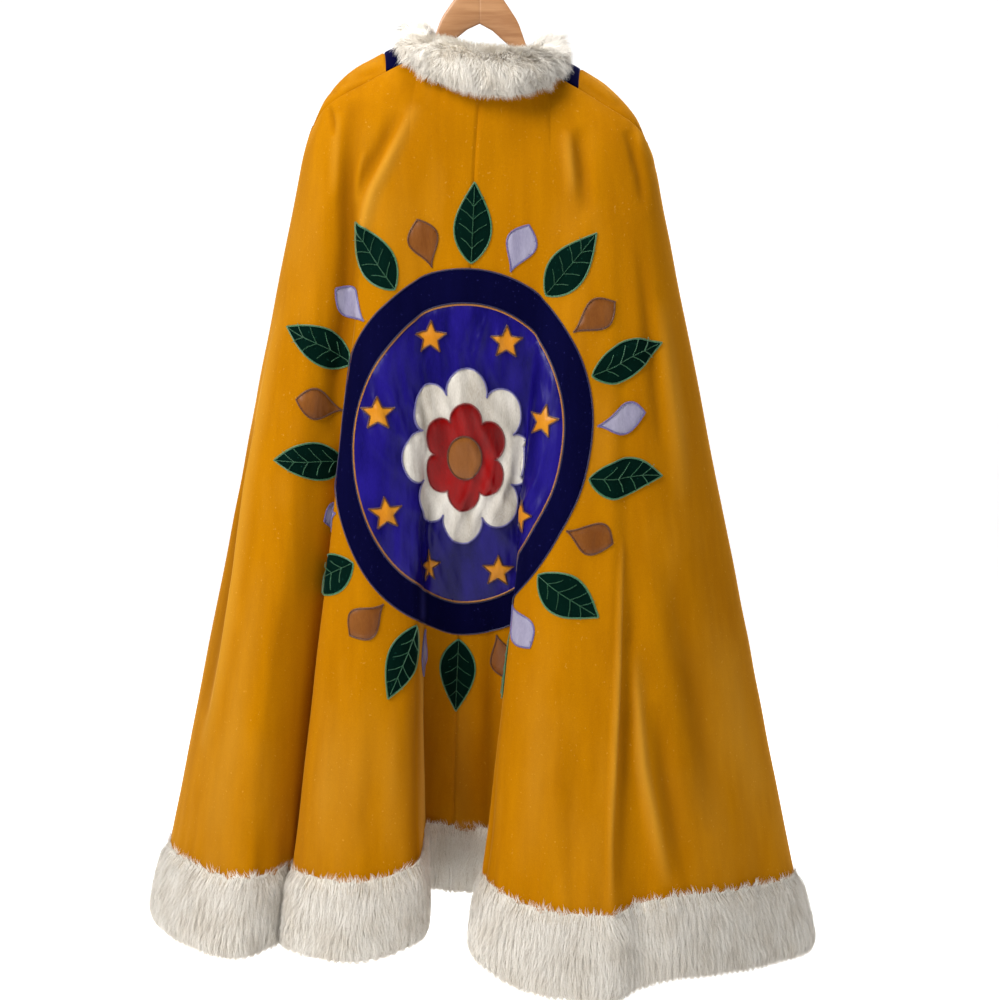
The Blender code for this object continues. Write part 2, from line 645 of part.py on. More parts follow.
def hanger_body(left_grid, right_grid):
    """The wooden hanger, a flat bow with rounded edges."""
    centre = np.array(HANGER_CENTRE)
    arm = np.array(ARM)
    stations = np.concatenate([-arm[::-1, 0], -centre[:0:-1, 0], centre[:, 0], arm[:, 0]])
    middle = np.vstack([centre[:0:-1, 1:], centre[:, 1:]])
    left = arm_tops(left_grid, -arm[::-1, 0])
    right = arm_tops(right_grid, arm[:, 0])
    tops = np.concatenate([left, middle[:, 0], right])
    bottoms = np.concatenate([left - arm[::-1, 1], middle[:, 1], right - arm[:, 1]])
    outline = np.concatenate([np.column_stack([stations, tops]), np.column_stack([stations, bottoms])[::-1]])
    half = HANGER_THICKNESS / 2
    near = np.array([(x, -half, z) for x, z in outline])
    far = np.array([(x, half, z) for x, z in outline])
    count = len(outline)
    faces = [list(range(count)), list(range(count, 2 * count))]
    for a in range(count):
        b = (a + 1) % count
        faces.append([a, b, b + count, a + count])
    body = add_mesh("hanger_body", np.vstack([near, far]), faces, WOOD)
    edge = body.modifiers.new("rounding", "BEVEL")
    edge.width = HANGER_ROUNDING
    edge.segments = 2
    edge.limit_method = "ANGLE"
    edge.angle_limit = math.radians(50)
    return body


def hanger_hook():
    """The wire hook, whose bow's underside is the saddle."""
    route = [(0.0, HANGER_CENTRE[0][1] + SEAM_GAP)] + list(HOOK_NECK)
    start, end, step = HOOK_TURN
    for angle in range(start, end + 1, step):
        turn = math.radians(angle)
        route.append((HOOK_RADIUS * math.cos(turn), HOOK_WIRE - HOOK_RADIUS + HOOK_RADIUS * math.sin(turn)))
    wire = bpy.data.curves.new("hanger_hook", "CURVE")
    wire.dimensions = "3D"
    wire.bevel_depth = HOOK_WIRE
    wire.bevel_resolution = 2
    wire.use_fill_caps = True
    line = wire.splines.new("POLY")
    line.points.add(len(route) - 1)
    for point, (x, z) in zip(line.points, route):
        point.co = (x, 0.0, z, 1.0)
    return add_object("hanger_hook", wire, STEEL)


# Applique

class BackCloth:
    """The back's cloth laid flat: across from the centre-back seam, down from the chest."""

    def __init__(self, surfaces):
        grid = surfaces.grids["back"]
        middle = surfaces.column_of("back", "centre_back")
        self.grid = grid
        self.normals = surfaces.normals["back"]
        steps = np.linalg.norm(np.diff(grid, axis=1), axis=2)
        length = np.concatenate([np.zeros((len(grid), 1)), np.cumsum(steps, axis=1)], axis=1)
        self.across = length - length[:, middle:middle + 1]
        drops = np.linalg.norm(np.diff(grid[:, middle], axis=0), axis=1)
        down = np.concatenate([[0.0], np.cumsum(drops)])
        self.down = down - down[SHOULDER_ROWS]

    def on_grid(self, across, down):
        """The column and row, with fractions, of a point of the cloth."""
        row = float(np.interp(down, self.down, np.arange(len(self.down))))
        low = min(int(row), len(self.down) - 2)
        line = self.across[low] + (self.across[low + 1] - self.across[low]) * (row - low)
        return float(np.interp(across, line, np.arange(len(line)))), row

    def lifted(self, place, height):
        """A point above the facets of the panel."""
        c, r = place
        i = min(int(c), self.grid.shape[1] - 2)
        j = min(int(r), self.grid.shape[0] - 2)
        c -= i
        r -= j
        corners = ((j, i, 1 - max(c, r)), (j, i + 1, max(c - r, 0)), (j + 1, i, max(r - c, 0)),
                   (j + 1, i + 1, min(c, r)))
        point = sum(self.grid[a, b] * share for a, b, share in corners)
        normal = sum(self.normals[a, b] * share for a, b, share in corners)
        return point + normal * height


def inside(loops, x, y):
    """Whether a point lies in the area between closed loops."""
    odd = False
    for loop in loops:
        for (xa, ya), (xb, yb) in zip(loop, loop[1:] + loop[:1]):
            if (ya > y) != (yb > y) and x < xa + (y - ya) / (yb - ya) * (xb - xa):
                odd = not odd
    return odd


FACET_SNAP = 0.002         # shares of a facet under which a cut line joins the facet's own edge


def applique(cloth, name, outlines, layer, finish):
    """A flat shape sewn on the back: its outline cut from the panel's facets and lifted off them."""
    loops = [[cloth.on_grid(x, y) for x, y in outline] for outline in outlines]
    points = []
    edges = []
    for loop in loops:
        first = len(points)
        points += loop
        edges += [(first + k, first + (k + 1) % len(loop)) for k in range(len(loop))]
    columns = [point[0] for point in points]
    rows = [point[1] for point in points]
    left, right = math.floor(min(columns)), math.ceil(max(columns))
    top, bottom = math.floor(min(rows)), math.ceil(max(rows))

    def line(start, end):
        points.extend([start, end])
        edges.append((len(points) - 2, len(points) - 1))

    for i in range(left, right + 1):
        line((i, top), (i, bottom))
    for j in range(top, bottom + 1):
        line((left, j), (right, j))
    for i in range(left, right):
        for j in range(top, bottom):
            line((i, j), (i + 1, j + 1))
    found = delaunay_2d_cdt([Vector(point) for point in points], edges, [], 0, FACET_SNAP)
    places, triangles = found[0], found[2]
    kept = []
    for triangle in triangles:
        x = sum(places[k][0] for k in triangle) / 3
        y = sum(places[k][1] for k in triangle) / 3
        if inside(loops, x, y):
            kept.append(list(triangle))
    used = sorted({k for triangle in kept for k in triangle})
    number = {k: n for n, k in enumerate(used)}
    low = CLOTH / 2 + SEAM_GAP + layer * (APPLIQUE + SEAM_GAP)
    below = [cloth.lifted(places[k], low) for k in used]
    above = [cloth.lifted(places[k], low + APPLIQUE) for k in used]
    count = len(used)
    faces = []
    rim = {}
    for triangle in kept:
        a, b, c = (number[k] for k in triangle)
        faces.append([a, b, c])
        faces.append([a + count, c + count, b + count])
        for edge in ((a, b), (b, c), (c, a)):
            rim[edge] = True
    for a, b in rim:
        if (b, a) not in rim:
            faces.append([a, a + count, b + count])
            faces.append([a, b + count, b])
    return add_mesh(name, below + above, faces, finish)


def ellipse(radius, count):
    """A closed oval round the medallion's middle."""
    turns = [2 * math.pi * k / count for k in range(count)]
    return [oval(radius, turn) for turn in turns]


def oval(radius, turn):
    """A point on an oval round the medallion's middle, by its turn from the top."""
    return radius * math.sin(turn), MEDALLION_DOWN - MEDALLION_STRETCH * radius * math.cos(turn)


def flower(radius, petals, depth, count):
    """A round flower with lobed petals."""
    outline = []
    for k in range(count):
        turn = 2 * math.pi * k / count
        lobe = abs(math.cos(petals * turn / 2)) ** 0.6
        outline.append(oval(radius * (1 - depth + depth * lobe), turn))
    return outline


def star(turn):
    """A small star on the field."""
    x, y = oval(STAR_PLACE, turn)
    outline = []
    for k in range(2 * STAR_POINTS):
        radius = STAR_RADIUS * (STAR_NOTCH if k % 2 else 1.0)
        point = math.pi * k / STAR_POINTS
        outline.append((x + radius * math.sin(point), y - radius * math.cos(point)))
    return outline


def spray(turn, length, half_width, fullness, count):
    """A pointed shape that stands outwards from the ring.  fullness: where along it it is widest."""
    radius = FIELD_RADIUS + RING_WIDTH + APPLIQUE_ROOM
    x, y = oval(radius, turn)
    ahead = oval(radius, turn + 0.01)
    along = unit(np.array([ahead[0] - x, ahead[1] - y]))
    way = np.array([along[1], -along[0]])
    power = math.log(0.5) / math.log(fullness)
    halves = []
    for sign in (1, -1):
        half = []
        for k in range(count + 1):
            share = k / count
            width = half_width * math.sin(math.pi * share ** power)
            point = np.array([x, y]) + way * length * share + along * sign * width
            half.append((float(point[0]), float(point[1])))
        halves.append(half)
    return halves[0] + halves[1][-2:0:-1]


def medallion(cloth):
    """The oval medallion of satin and velvet shapes on the back."""
    applique(cloth, "medallion_field", [ellipse(FIELD_RADIUS - RING_ROOM, 32)], 0, PURPLE_SATIN)
    ring = [ellipse(FIELD_RADIUS + RING_WIDTH, 32), ellipse(FIELD_RADIUS + RING_ROOM, 32)]
    applique(cloth, "medallion_ring", ring, 0, NAVY_VELVET)
    applique(cloth, "rosette", [flower(ROSETTE_RADIUS, ROSETTE_PETALS, 0.26, 64)], 1, WHITE_SATIN)
    applique(cloth, "rosette_heart", [flower(HEART_RADIUS, HEART_PETALS, 0.30, 48)], 2, RED_SATIN)
    applique(cloth, "rosette_button", [ellipse(BUTTON_RADIUS, 16)], 3, BRONZE_SATIN)
    for k in range(STAR_COUNT):
        turn = 2 * math.pi * (k + 0.5) / STAR_COUNT
        applique(cloth, f"star_{k + 1}", [star(turn)], 1, GOLD_SATIN)
    for k in range(LEAF_COUNT):
        turn = 2 * math.pi * k / LEAF_COUNT
        leaf = spray(turn, LEAF_LENGTH, LEAF_HALF_WIDTH, 0.42, 6)
        applique(cloth, f"leaf_{k + 1}", [leaf], 0, GREEN_VELVET)
        between = turn + math.pi / LEAF_COUNT
        bud = spray(between, BUD_LENGTH, BUD_HALF_WIDTH, 0.62, 5)
        applique(cloth, f"bud_{k + 1}", [bud], 0, BRONZE_SATIN if k % 2 else LILAC_SATIN)


for old in list(bpy.data.objects):
    bpy.data.objects.remove(old)
CAPE = bpy.data.collections.new("king_costume_cape")
bpy.context.scene.collection.children.link(CAPE)

cape_surfaces = Surfaces()
velvet_panels(cape_surfaces)
medallion(BackCloth(cape_surfaces))
fur_borders()
collar(cape_surfaces.outer_facets())
hanger_body(cape_surfaces.grids["front_left"], cape_surfaces.grids["front_right"])
hanger_hook()
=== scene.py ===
"""King costume cape on a hanger: its velvet, fur, applique and sewing, in a plain studio.

Metres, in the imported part's frame: +Z up, the back of the cape faces -Y, the origin is the hook's saddle.
"""

import math

import bpy
import numpy as np
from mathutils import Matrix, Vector
from mathutils.bvhtree import BVHTree
from mathutils.geometry import delaunay_2d_cdt


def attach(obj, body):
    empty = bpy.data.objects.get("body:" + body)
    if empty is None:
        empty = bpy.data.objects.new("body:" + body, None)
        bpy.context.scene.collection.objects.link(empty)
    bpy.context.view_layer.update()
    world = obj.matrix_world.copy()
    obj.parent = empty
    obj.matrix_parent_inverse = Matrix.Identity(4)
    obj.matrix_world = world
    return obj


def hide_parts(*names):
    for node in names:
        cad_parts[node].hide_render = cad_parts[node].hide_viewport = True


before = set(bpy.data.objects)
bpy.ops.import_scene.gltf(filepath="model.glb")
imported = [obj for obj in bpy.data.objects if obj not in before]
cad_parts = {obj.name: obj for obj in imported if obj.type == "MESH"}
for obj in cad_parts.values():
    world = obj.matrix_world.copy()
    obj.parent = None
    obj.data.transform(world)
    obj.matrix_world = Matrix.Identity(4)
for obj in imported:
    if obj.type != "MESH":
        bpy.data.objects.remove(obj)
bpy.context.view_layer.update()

# Camera, at the photograph's place
CAMERA_PLACE = (0.029, -2.4, -0.62)
CAMERA_AIM = (0.029, 0.0, -0.80)
FRAME_WIDTH = 1.46         # width of the picture at the aim
SENSOR = 36.0

# Studio
FLOOR_Z = -1.70
FLOOR_REACH = 9.0
FLOOR_BACK = 3.6           # where it begins to bend up
FLOOR_BEND = 2.0
FLOOR_TOP = 7.0
FLOOR_WHITE = ((247, 247, 247), (252, 252, 252))
FLOOR_GLOW = 0.5
# name, place, aim, size, power, colour
LIGHTS = (
    ("key", (-1.80, -2.0, 1.15), (0.0, 0.0, -0.7), 1.3, 112.0, (1.0, 0.98, 0.95)),
    ("fill", (2.4, -2.6, -0.2), (0.0, 0.0, -0.8), 2.2, 10.0, (0.96, 0.98, 1.0)),
    ("top", (0.1, -0.2, 1.8), (0.0, 0.0, -0.6), 1.4, 52.0, (1.0, 1.0, 1.0)),
    ("behind", (0.4, 2.8, 0.6), (0.0, 0.0, -0.8), 2.4, 60.0, (1.0, 0.98, 0.95)),
)
WORLD_LIGHT = 0.12

# Cloth, as in the part's solids
CLOTH = 0.002
HANG_TILT = 0.045
CHEST_Z = -0.33
HEM_Z = -1.44
FUR_DEPTH = 0.113
CHEST_HALF_WIDTH = 0.2555
CHEST_HALF_DEPTH = 0.085
CHEST_SQUARENESS = 2.6
PILE = 0.017
FUR_BACKING = 0.004

# Folds that both fronts have, from the front edge on, then those round the back from left to right:
# name, X at the chest, side, onset, X and Y at the hem, rise of the hem, share of the fur's depth
FRONT_FOLDS = (
    ("front_edge", 0.014, 1, 0.0, 0.024, 0.225, 0.010, 0.7),
    ("front_neck", 0.043, 1, 0.0, 0.052, 0.236, 0.006, 1.0),
    ("front_side_neck", 0.0715, 1, 0.0, 0.082, 0.243, 0.004, 1.0),
    ("side_neck", 0.0869, 1, 0.0, 0.099, 0.247, 0.003, 1.0),
    ("neck_point", 0.0971, 1, 0.0, 0.112, 0.248, 0.002, 1.0),
    ("band_seam", 0.148, 1, 0.0, 0.168, 0.240, 0.000, 1.0),
    ("front_valley", 0.176, 1, 0.2, 0.240, 0.182, 0.005, 0.5),
    ("front_flute", 0.206, 1, 0.0, 0.345, 0.215, 0.000, 1.0),
)
BACK_FOLDS = (
    ("front_side_left", -0.238, 1, 0.0, -0.447, 0.130, 0.000, 1.0),
    ("side_left", -0.2555, -1, 0.0, -0.485, 0.030, -0.002, 1.0),
    ("outer_left", -0.238, -1, 0.0, -0.437, -0.075, -0.005, 1.0),
    ("flute_left", -0.205, -1, 0.0, -0.345, -0.140, -0.008, 1.0),
    ("inner_left", -0.181, -1, 0.1, -0.288, -0.085, -0.002, 0.6),
    ("valley_left", -0.162, -1, 0.12, -0.258, -0.010, 0.000, 0.25),
    ("edge_centre_left", -0.147, -1, 0.0, -0.278, -0.095, 0.000, 0.8),
    ("flute_centre_left", -0.122, -1, 0.0, -0.182, -0.158, 0.000, 1.0),
    ("edge_recess_left", -0.0971, -1, 0.0, -0.084, -0.112, 0.026, 0.9),
    ("recess_left", -0.066, -1, 0.3, -0.082, 0.025, 0.048, 0.4),
    ("centre_back", -0.006, -1, 0.3, -0.046, 0.062, 0.038, 0.8),
    ("recess_right", 0.080, -1, 0.22, 0.040, 0.030, 0.038, 0.3),
    ("edge_right", 0.117, -1, 0.0, -0.006, -0.125, 0.012, 0.9),
    ("flute_right", 0.150, -1, 0.0, 0.100, -0.215, -0.015, 1.0),
    ("crease_right", 0.182, -1, 0.0, 0.176, -0.222, -0.015, 1.0),
    ("dip_right", 0.197, -1, 0.0, 0.218, -0.196, -0.004, 0.9),
    ("ridge_right", 0.213, -1, 0.0, 0.272, -0.180, 0.006, 1.0),
    ("outer_right", 0.238, -1, 0.0, 0.412, -0.080, -0.004, 1.0),
    ("side_right", 0.2555, 1, 0.0, 0.492, 0.030, -0.010, 1.0),
    ("front_side_right", 0.238, 1, 0.0, 0.455, 0.130, 0.000, 1.0),
)
FOLD_GROWTH = 1.2

# Neck seam on the +X side: name, share, x, y, z, fall, stand, loft, ride, drop
NECK = (
    ("nape", 0.00, 0.000, -0.080, -0.200, 78.0, 1.0, 1.0, 0.0, 1.0),
    ("back_neck", 0.20, 0.054, -0.070, -0.192, 66.0, 1.0, 1.0, 0.0, 1.0),
    ("neck_point", 0.38, 0.087, -0.036, -0.176, 42.0, 0.5, 0.8, 0.002, 0.7),
    ("side_neck", 0.34, 0.081, 0.004, -0.1445, 30.0, 0.1, 0.6, 0.005, 0.6),
    ("front_side_neck", 0.28, 0.070, 0.045, -0.174, 46.0, 0.6, 0.8, 0.006, 0.8),
    ("front_neck", 0.16, 0.043, 0.075, -0.210, 72.0, 1.0, 1.0, 0.003, 1.0),
    ("front_edge", 0.055, 0.016, 0.087, -0.232, 80.0, 1.0, 1.0, 0.002, 1.0),
)
NECK_SHIFT = 0.009
NECK_SLIP = 0.10
NECK_POINTS = 241
SHOULDER = (
    (0.38, 0.087, -0.036, -0.176),
    (0.70, 0.166, -0.035, -0.219),
    (0.90, 0.219, -0.025, -0.251),
    (1.00, 0.240, -0.006, -0.276),
)
BACK_LEAN = (
    (0.00, 0.000, -0.030, -0.110),
    (0.20, 0.006, -0.040, -0.100),
    (0.38, 0.016, -0.066, -0.088),
    (0.70, 0.008, -0.070, -0.080),
    (0.90, 0.014, -0.040, -0.060),
    (1.00, 0.020, 0.002, -0.056),
)
FRONT_LEAN = (
    (0.055, 0.000, 0.010, -0.090),
    (0.16, 0.010, 0.030, -0.080),
    (0.28, 0.060, 0.070, -0.050),
    (0.34, 0.110, 0.150, 0.050),
    (0.38, 0.100, 0.240, 0.270),
    (0.70, 0.012, 0.270, 0.330),
    (0.90, 0.014, 0.150, 0.150),
    (1.00, 0.020, 0.002, -0.056),
)
SHOULDER_CROWDING = 1.4
BORDER_DROP = 1 - FUR_DEPTH / (CHEST_Z - HEM_Z)

# Fur border: height, stand
BORDER = ((0.0, 0.12), (0.12, 0.8), (0.55, 1.0), (0.88, 0.95), (1.0, 0.6))

# Collar's section: up, out
COLLAR_SECTION = (
    (0.001, -0.009), (0.016, -0.013), (0.027, -0.008), (0.032, 0.004), (0.027, 0.018), (0.012, 0.027),
    (-0.012, 0.030), (-0.032, 0.025), (-0.042, 0.014), (-0.036, 0.0013), (-0.018, 0.0028), (-0.002, 0.007),
    (0.012, 0.008), (0.012, 0.004), (0.001, 0.003),
)
COLLAR_LIFT = 0.0022
COLLAR_SKIN = 0.01
COLLAR_REACH = 0.06
COLLAR_SINK = 0.006
COLLAR_BEND = 0.004        # the section goes from standing to lying between this above and below the seam
COLLAR_OUTER = 8           # the section's points up to this one are on the fur's outer side

# Hanger: distance from the middle, top on the left, top on the right, height
HANGER_THICKNESS = 0.014
HANGER = (
    (0.0, -0.0560, -0.0560, 0.062),
    (0.018, -0.0612, -0.0628, 0.065),
    (0.037, -0.0843, -0.0877, 0.057),
    (0.056, -0.1115, -0.1165, 0.045),
    (0.066, -0.1420, -0.1480, 0.033),
    (0.080, -0.1624, -0.1696, 0.027),
    (0.105, -0.1530, -0.1683, 0.034),
    (0.126, -0.1620, -0.1799, 0.033),
    (0.147, -0.1727, -0.1929, 0.031),
    (0.168, -0.1842, -0.2059, 0.030),
    (0.189, -0.1980, -0.2200, 0.027),
    (0.208, -0.2149, -0.2371, 0.020),
)
HANGER_STATIONS = 181
HANGER_AROUND = 28
HANGER_SMOOTHING = 3
HANGER_SQUARE_UP = 0.30    # powers that make the section nearly square
HANGER_SQUARE_ACROSS = 0.42
CHAMFER_SHARE = 0.45       # of the thickness, taken off at the lower edge
CHAMFER_START = 0.15
END_TALL = 0.25            # the arms' rounded ends keep these shares of the section
END_WIDE = 0.35
HANGER_NECK = 0.03         # the edges aren't smoothed this near to the middle
HANGER_END = 0.008
HANGER_SHAVING = 0.0003    # off the solid's faces
HANGER_GROOVE = 0.0008     # half width of the joint in the middle
GROOVE_DEPTH = 0.93        # thickness left there
HOOK_WIRE = 0.002
HOOK_RADIUS = 0.022
HOOK_ANGLES = (-15, 196, 5)
HOOK_TIP = (0.45, 0.8, 0.95)   # radius of the last rings, as a share of the wire's
HOOK_STATIONS = 110
HOOK_AROUND = 14
HOOK_SHAVING = 0.985       # radius kept, inside the solid's
HOOK_ROUTE = ((0.0, -0.0557), (0.0, -0.048), (0.004, -0.042), (0.014, -0.034))

# Applique, as in the part's solids
MEDALLION_DOWN = 0.405
MEDALLION_STRETCH = 1.28
FIELD_RADIUS = 0.168
RING_WIDTH = 0.038
ROSETTE_RADIUS = 0.098
ROSETTE_PETALS = 8
ROSETTE_LOBES = 0.26       # depth of the petals' lobes, as a share of the radius
HEART_RADIUS = 0.060
HEART_PETALS = 6
HEART_LOBES = 0.30
BUTTON_RADIUS = 0.024
STAR_COUNT = 8
STAR_RADIUS = 0.024
STAR_POINTS = 5
STAR_NOTCH = 0.45
STAR_PLACE = 0.139
LEAF_COUNT = 12
LEAF_LENGTH = 0.112
LEAF_HALF_WIDTH = 0.026
LEAF_FULLNESS = 0.42
BUD_LENGTH = 0.070
BUD_HALF_WIDTH = 0.021
BUD_FULLNESS = 0.62
RING_ROOM = 0.0008
APPLIQUE_ROOM = 0.006
WRINKLE = 0.0046           # height of the satin's wrinkles
WRINKLE_REACH = 0.016
LAYER_STEP = 0.0021        # from a sewn-on shape to one on top of it
PATCH_LIFT = 0.0005        # of a sewn-on shape's edge off the cloth
PUFF_REACH = 0.0028        # from that edge to where the shape is well raised
STITCH_SECTION = ((-1.0, 0.0010), (0.0, 0.0028), (1.0, 0.0010))   # share of the reach, height
STITCH_HALF_WIDTH = 0.00052
EDGE_STITCH = {"pitch": 0.0015, "reach": 0.0013, "slant": 0.0005}
VEIN_STITCH = {"pitch": 0.0022, "reach": 0.0006, "slant": 0.0012}

# Creases of the back, picked on the photograph:
# half width, height (a trough is negative), points in its pixels
PHOTO_WIDTH = 1000
PICKED_CREASES = (
    (0.013, -0.0110, ((352, 100), (348, 160), (347, 200), (349, 250), (345, 310), (338, 370), (332, 440))),
    (0.010, 0.0090, ((418, 104), (404, 128), (388, 160), (374, 188), (364, 225), (358, 262))),
    (0.012, -0.0060, ((402, 112), (386, 142), (370, 172), (358, 196))),
    (0.006, 0.0040, ((366, 150), (358, 175), (354, 200))),
    (0.009, 0.0050, ((340, 112), (338, 150), (336, 200))),
    (0.008, 0.0090, ((282, 305), (266, 398), (250, 480), (239, 569), (223, 664), (213, 718), (203, 752))),
    (0.011, -0.0090, ((256, 420), (240, 490), (228, 575), (212, 664), (204, 715))),
    (0.016, 0.0032, ((262, 560), (236, 720), (214, 840))),
    (0.014, -0.0026, ((285, 600), (268, 730), (252, 860))),
    (0.012, 0.0022, ((330, 700), (326, 780), (318, 850))),
    (0.010, -0.0016, ((372, 720), (368, 790), (362, 850))),
    (0.010, 0.0020, ((394, 700), (392, 780), (388, 845))),
    (0.015, 0.0020, ((540, 700), (532, 800), (524, 880))),
    (0.013, -0.0022, ((575, 720), (570, 820), (566, 895))),
    (0.0034, 0.0074, ((622, 540), (620, 580), (617.8, 652), (613.5, 767), (610.6, 839), (610.5, 912))),
    (0.009, -0.0055, ((630, 600), (628, 700), (624, 800), (622, 890))),
    (0.010, 0.0080, ((630, 640), (642, 767), (655, 830), (668, 888))),
    (0.014, -0.0070, ((655, 700), (668, 790), (684, 880))),
    (0.020, -0.0062, ((668, 559), (686, 650), (703, 751), (718, 830))),
    (0.020, 0.0025, ((720, 620), (738, 720), (752, 800))),
    (0.012, 0.0050, ((660, 300), (672, 400), (684, 500))),
    (0.010, -0.0045, ((640, 250), (652, 350), (662, 450))),
    (0.010, 0.0055, ((566, 130), (570, 160), (574, 195))),
    (0.011, -0.0060, ((579, 128), (583, 170), (587, 215))),
)

# More creases of the back, with points as X and Z
PLACED_CREASES = (
    (0.004, -0.0045, ((-0.214, -0.238), (-0.209, -0.250), (-0.205, -0.266), (-0.203, -0.286))),
    (0.020, -0.0070, ((-0.072, -0.960), (-0.077, -1.150), (-0.080, -1.360))),
    (0.016, 0.0030, ((-0.026, -1.000), (-0.029, -1.180), (-0.031, -1.360))),
    (0.011, -0.0060, ((0.018, -0.960), (0.013, -1.150), (0.009, -1.360))),
    (0.007, 0.0050, ((0.205, -0.250), (0.223, -0.262), (0.229, -0.286), (0.246, -0.320))),
    (0.008, -0.0045, ((0.206, -0.275), (0.216, -0.300), (0.226, -0.335), (0.232, -0.380))),
)

# Creases of the left front, placed the same way; the right front's are their mirror image, lower by the shift
FRONT_CREASES = (
    (0.014, 0.0050, ((-0.200, -0.300), (-0.214, -0.420), (-0.226, -0.560), (-0.236, -0.700))),
    (0.012, -0.0045, ((-0.176, -0.290), (-0.186, -0.400), (-0.192, -0.520))),
    (0.016, -0.0060, ((-0.280, -0.760), (-0.300, -0.920), (-0.322, -1.080), (-0.344, -1.260))),
    (0.014, 0.0050, ((-0.330, -0.820), (-0.356, -0.980), (-0.380, -1.140), (-0.400, -1.290))),
    (0.010, -0.0040, ((-0.232, -0.620), (-0.252, -0.780), (-0.268, -0.940))),
    (0.012, 0.0035, ((-0.100, -0.420), (-0.106, -0.640), (-0.110, -0.860))),
    (0.012, -0.0035, ((-0.070, -0.640), (-0.074, -0.880), (-0.076, -1.120))),
)
FRONT_CREASE_SHIFT = 0.07

# Creases of the fronts where they lie over the shoulders
SHOULDER_CREASES = (
    (0.005, -0.0035, ((-0.180, -0.194), (-0.146, -0.191), (-0.115, -0.191))),
    (0.006, 0.0035, ((-0.190, -0.203), (-0.163, -0.186), (-0.138, -0.172))),
    (0.005, -0.0030, ((-0.216, -0.216), (-0.190, -0.222), (-0.170, -0.222))),
    (0.006, 0.0035, ((-0.210, -0.226), (-0.183, -0.213), (-0.158, -0.204))),
    (0.006, 0.0030, ((0.145, -0.192), (0.171, -0.211), (0.195, -0.231))),
    (0.006, -0.0030, ((0.140, -0.210), (0.171, -0.226), (0.200, -0.243))),
)

# Fineness
BACK_COLUMN = 0.0047
FRONT_COLUMN = 0.010
SHOULDER_ROWS = 30
DROP_ROWS = 104
CHEST_FALL = 0.02          # share of the drop over which the way down at the chest is taken
VELVET_LAP = 0.012         # share of the drop that the velvet goes on under the fur border
SEAM_COLUMNS = (0.0015, 0.0035, 0.006)   # extra columns this near to each seam
CREASE_TAPER = 0.6
CREASE_TURN = 0.3          # creases fade where the cloth faces their way by less than this
UNEVENNESS = 0.0006
SEAM_ROLL = 0.0022         # how far a seam's edges turn in
SEAM_REACH = 0.0026
SEAM_FADE = 0.010          # creases fade this near to a shoulder or side seam
# Span of the painted shade in the creases' troughs and the painted sheen on their crests
CREASE_LIGHT_HEIGHT = 0.018         # from the bottom of a deep crease to the top of a high one
NECK_GATHER = 0.0020       # depth of the small gathers under the collar
NECK_GATHER_REACH = 0.045
NECK_GATHER_WIDTH = 0.10
NECK_GATHER_FADE = 0.02
HEM_PUCKER = 0.0016        # depth of the puckers over the fur border's seam
HEM_PUCKER_REACH = 0.075
PATCH_STEP = 0.0048        # of the applique's facets
PATCH_EDGE_STEP = 0.55 * PATCH_STEP
PATCH_MARGIN = 0.45 * PATCH_STEP
SAME_POINT = 1e-7

# Fur strands for each piece
STRANDS = {"hem_fur_back_left": 58000, "hem_fur_back_right": 60000, "hem_fur_front_left": 26000,
           "hem_fur_front_right": 26000, "collar": 58000}
STRAND_LENGTH = 0.028
STRAND_WIDTH = 0.0008
COLLAR_STRAND_LENGTH = 0.020
FUR_OVERHANG = 0.008       # how far the strands reach past the lower edge of their skin
COLLAR_OVERHANG = 0.014
CLUMP = 0.010              # width of the tufts that the strands gather in
CLUMP_SHARE = 0.40         # how far a tip is drawn to its tuft
STRAND_TAPER = 0.45        # width near the tip, as a share of that at the root
STRAND_TURN = 0.9
SHADING_SPREAD = 0.2       # how unlike each other strands are shaded
SHADING_RISE = 0.15
UP = np.array([0.0, 0.0, 1.0])

# Hem's fur: shares are of the border's depth, of a strand's length or of the pile
FUR_COLUMN = 0.006
FUR_ROWS = 21
FUR_LAP = 0.003
SKIN_SHARE = 0.45
BACKING_SHARE = 0.9
HEM_STRAND = ((0.0, 0.18), (0.5, 0.88), (1.0, 1.0))   # along a strand, how far it stands off
HEM_FALL = 1.1
HEM_CURL = 1.3
HEM_ROOTS = (-0.02, 1.0)
HEM_UNEVENNESS = 0.025
HEM_LENGTHS = (0.65, 1.15)
HEM_OVERHANGS = (0.2, 1.0)
HEM_SWIRL = 0.30
HEM_SPREAD = 0.13
UPWARD_ROOTS = 0.07        # some strands above this lie up over the velvet
UPWARD_SHARE = 0.45
UPWARD_REACH = (0.002, 0.014)
TIP_STAND = (0.55, 1.08)
ROOT_STAND = 0.12
LEAST_STAND = 0.40

# Collar's fur
COLLAR_STATIONS = 150
COLLAR_AROUND = 48
# Inset of the skin under the strands, from the neck round to the lower edge
OUTER_INSET = (0.0045, 0.0050, 0.0095)
INSET_BEND = 0.7
UNDER_INSET = 0.0008
UNDER_EASE = 7             # points over which the underside goes from the one inset to the other
COLLAR_STRAND = ((0.0, 0.0), (0.5, 0.8), (1.0, 1.0))
COLLAR_LENGTHS = (0.6, 1.15)
COLLAR_OVERHANGS = (0.3, 1.0)
COLLAR_SWIRL = 0.8
COLLAR_SPREAD = 0.3
COLLAR_CLUMP = 0.0030
COLLAR_PARTING = 0.3
COLLAR_FREE = 0.35         # strands hang free where their roots face down by more than this
FREE_SPREAD = 0.55
COLLAR_RISE = (0.22, 0.46)
COLLAR_LIE = 0.86
COLLAR_FALL = 1.25
CROWN_SPREAD = 0.9         # the crown is the top of the collar's roll
CROWN_POWER = 1.5
CROWN_SHORTER = 0.45
CROWN_RISE = 0.60
CROWN_LIE = 0.45

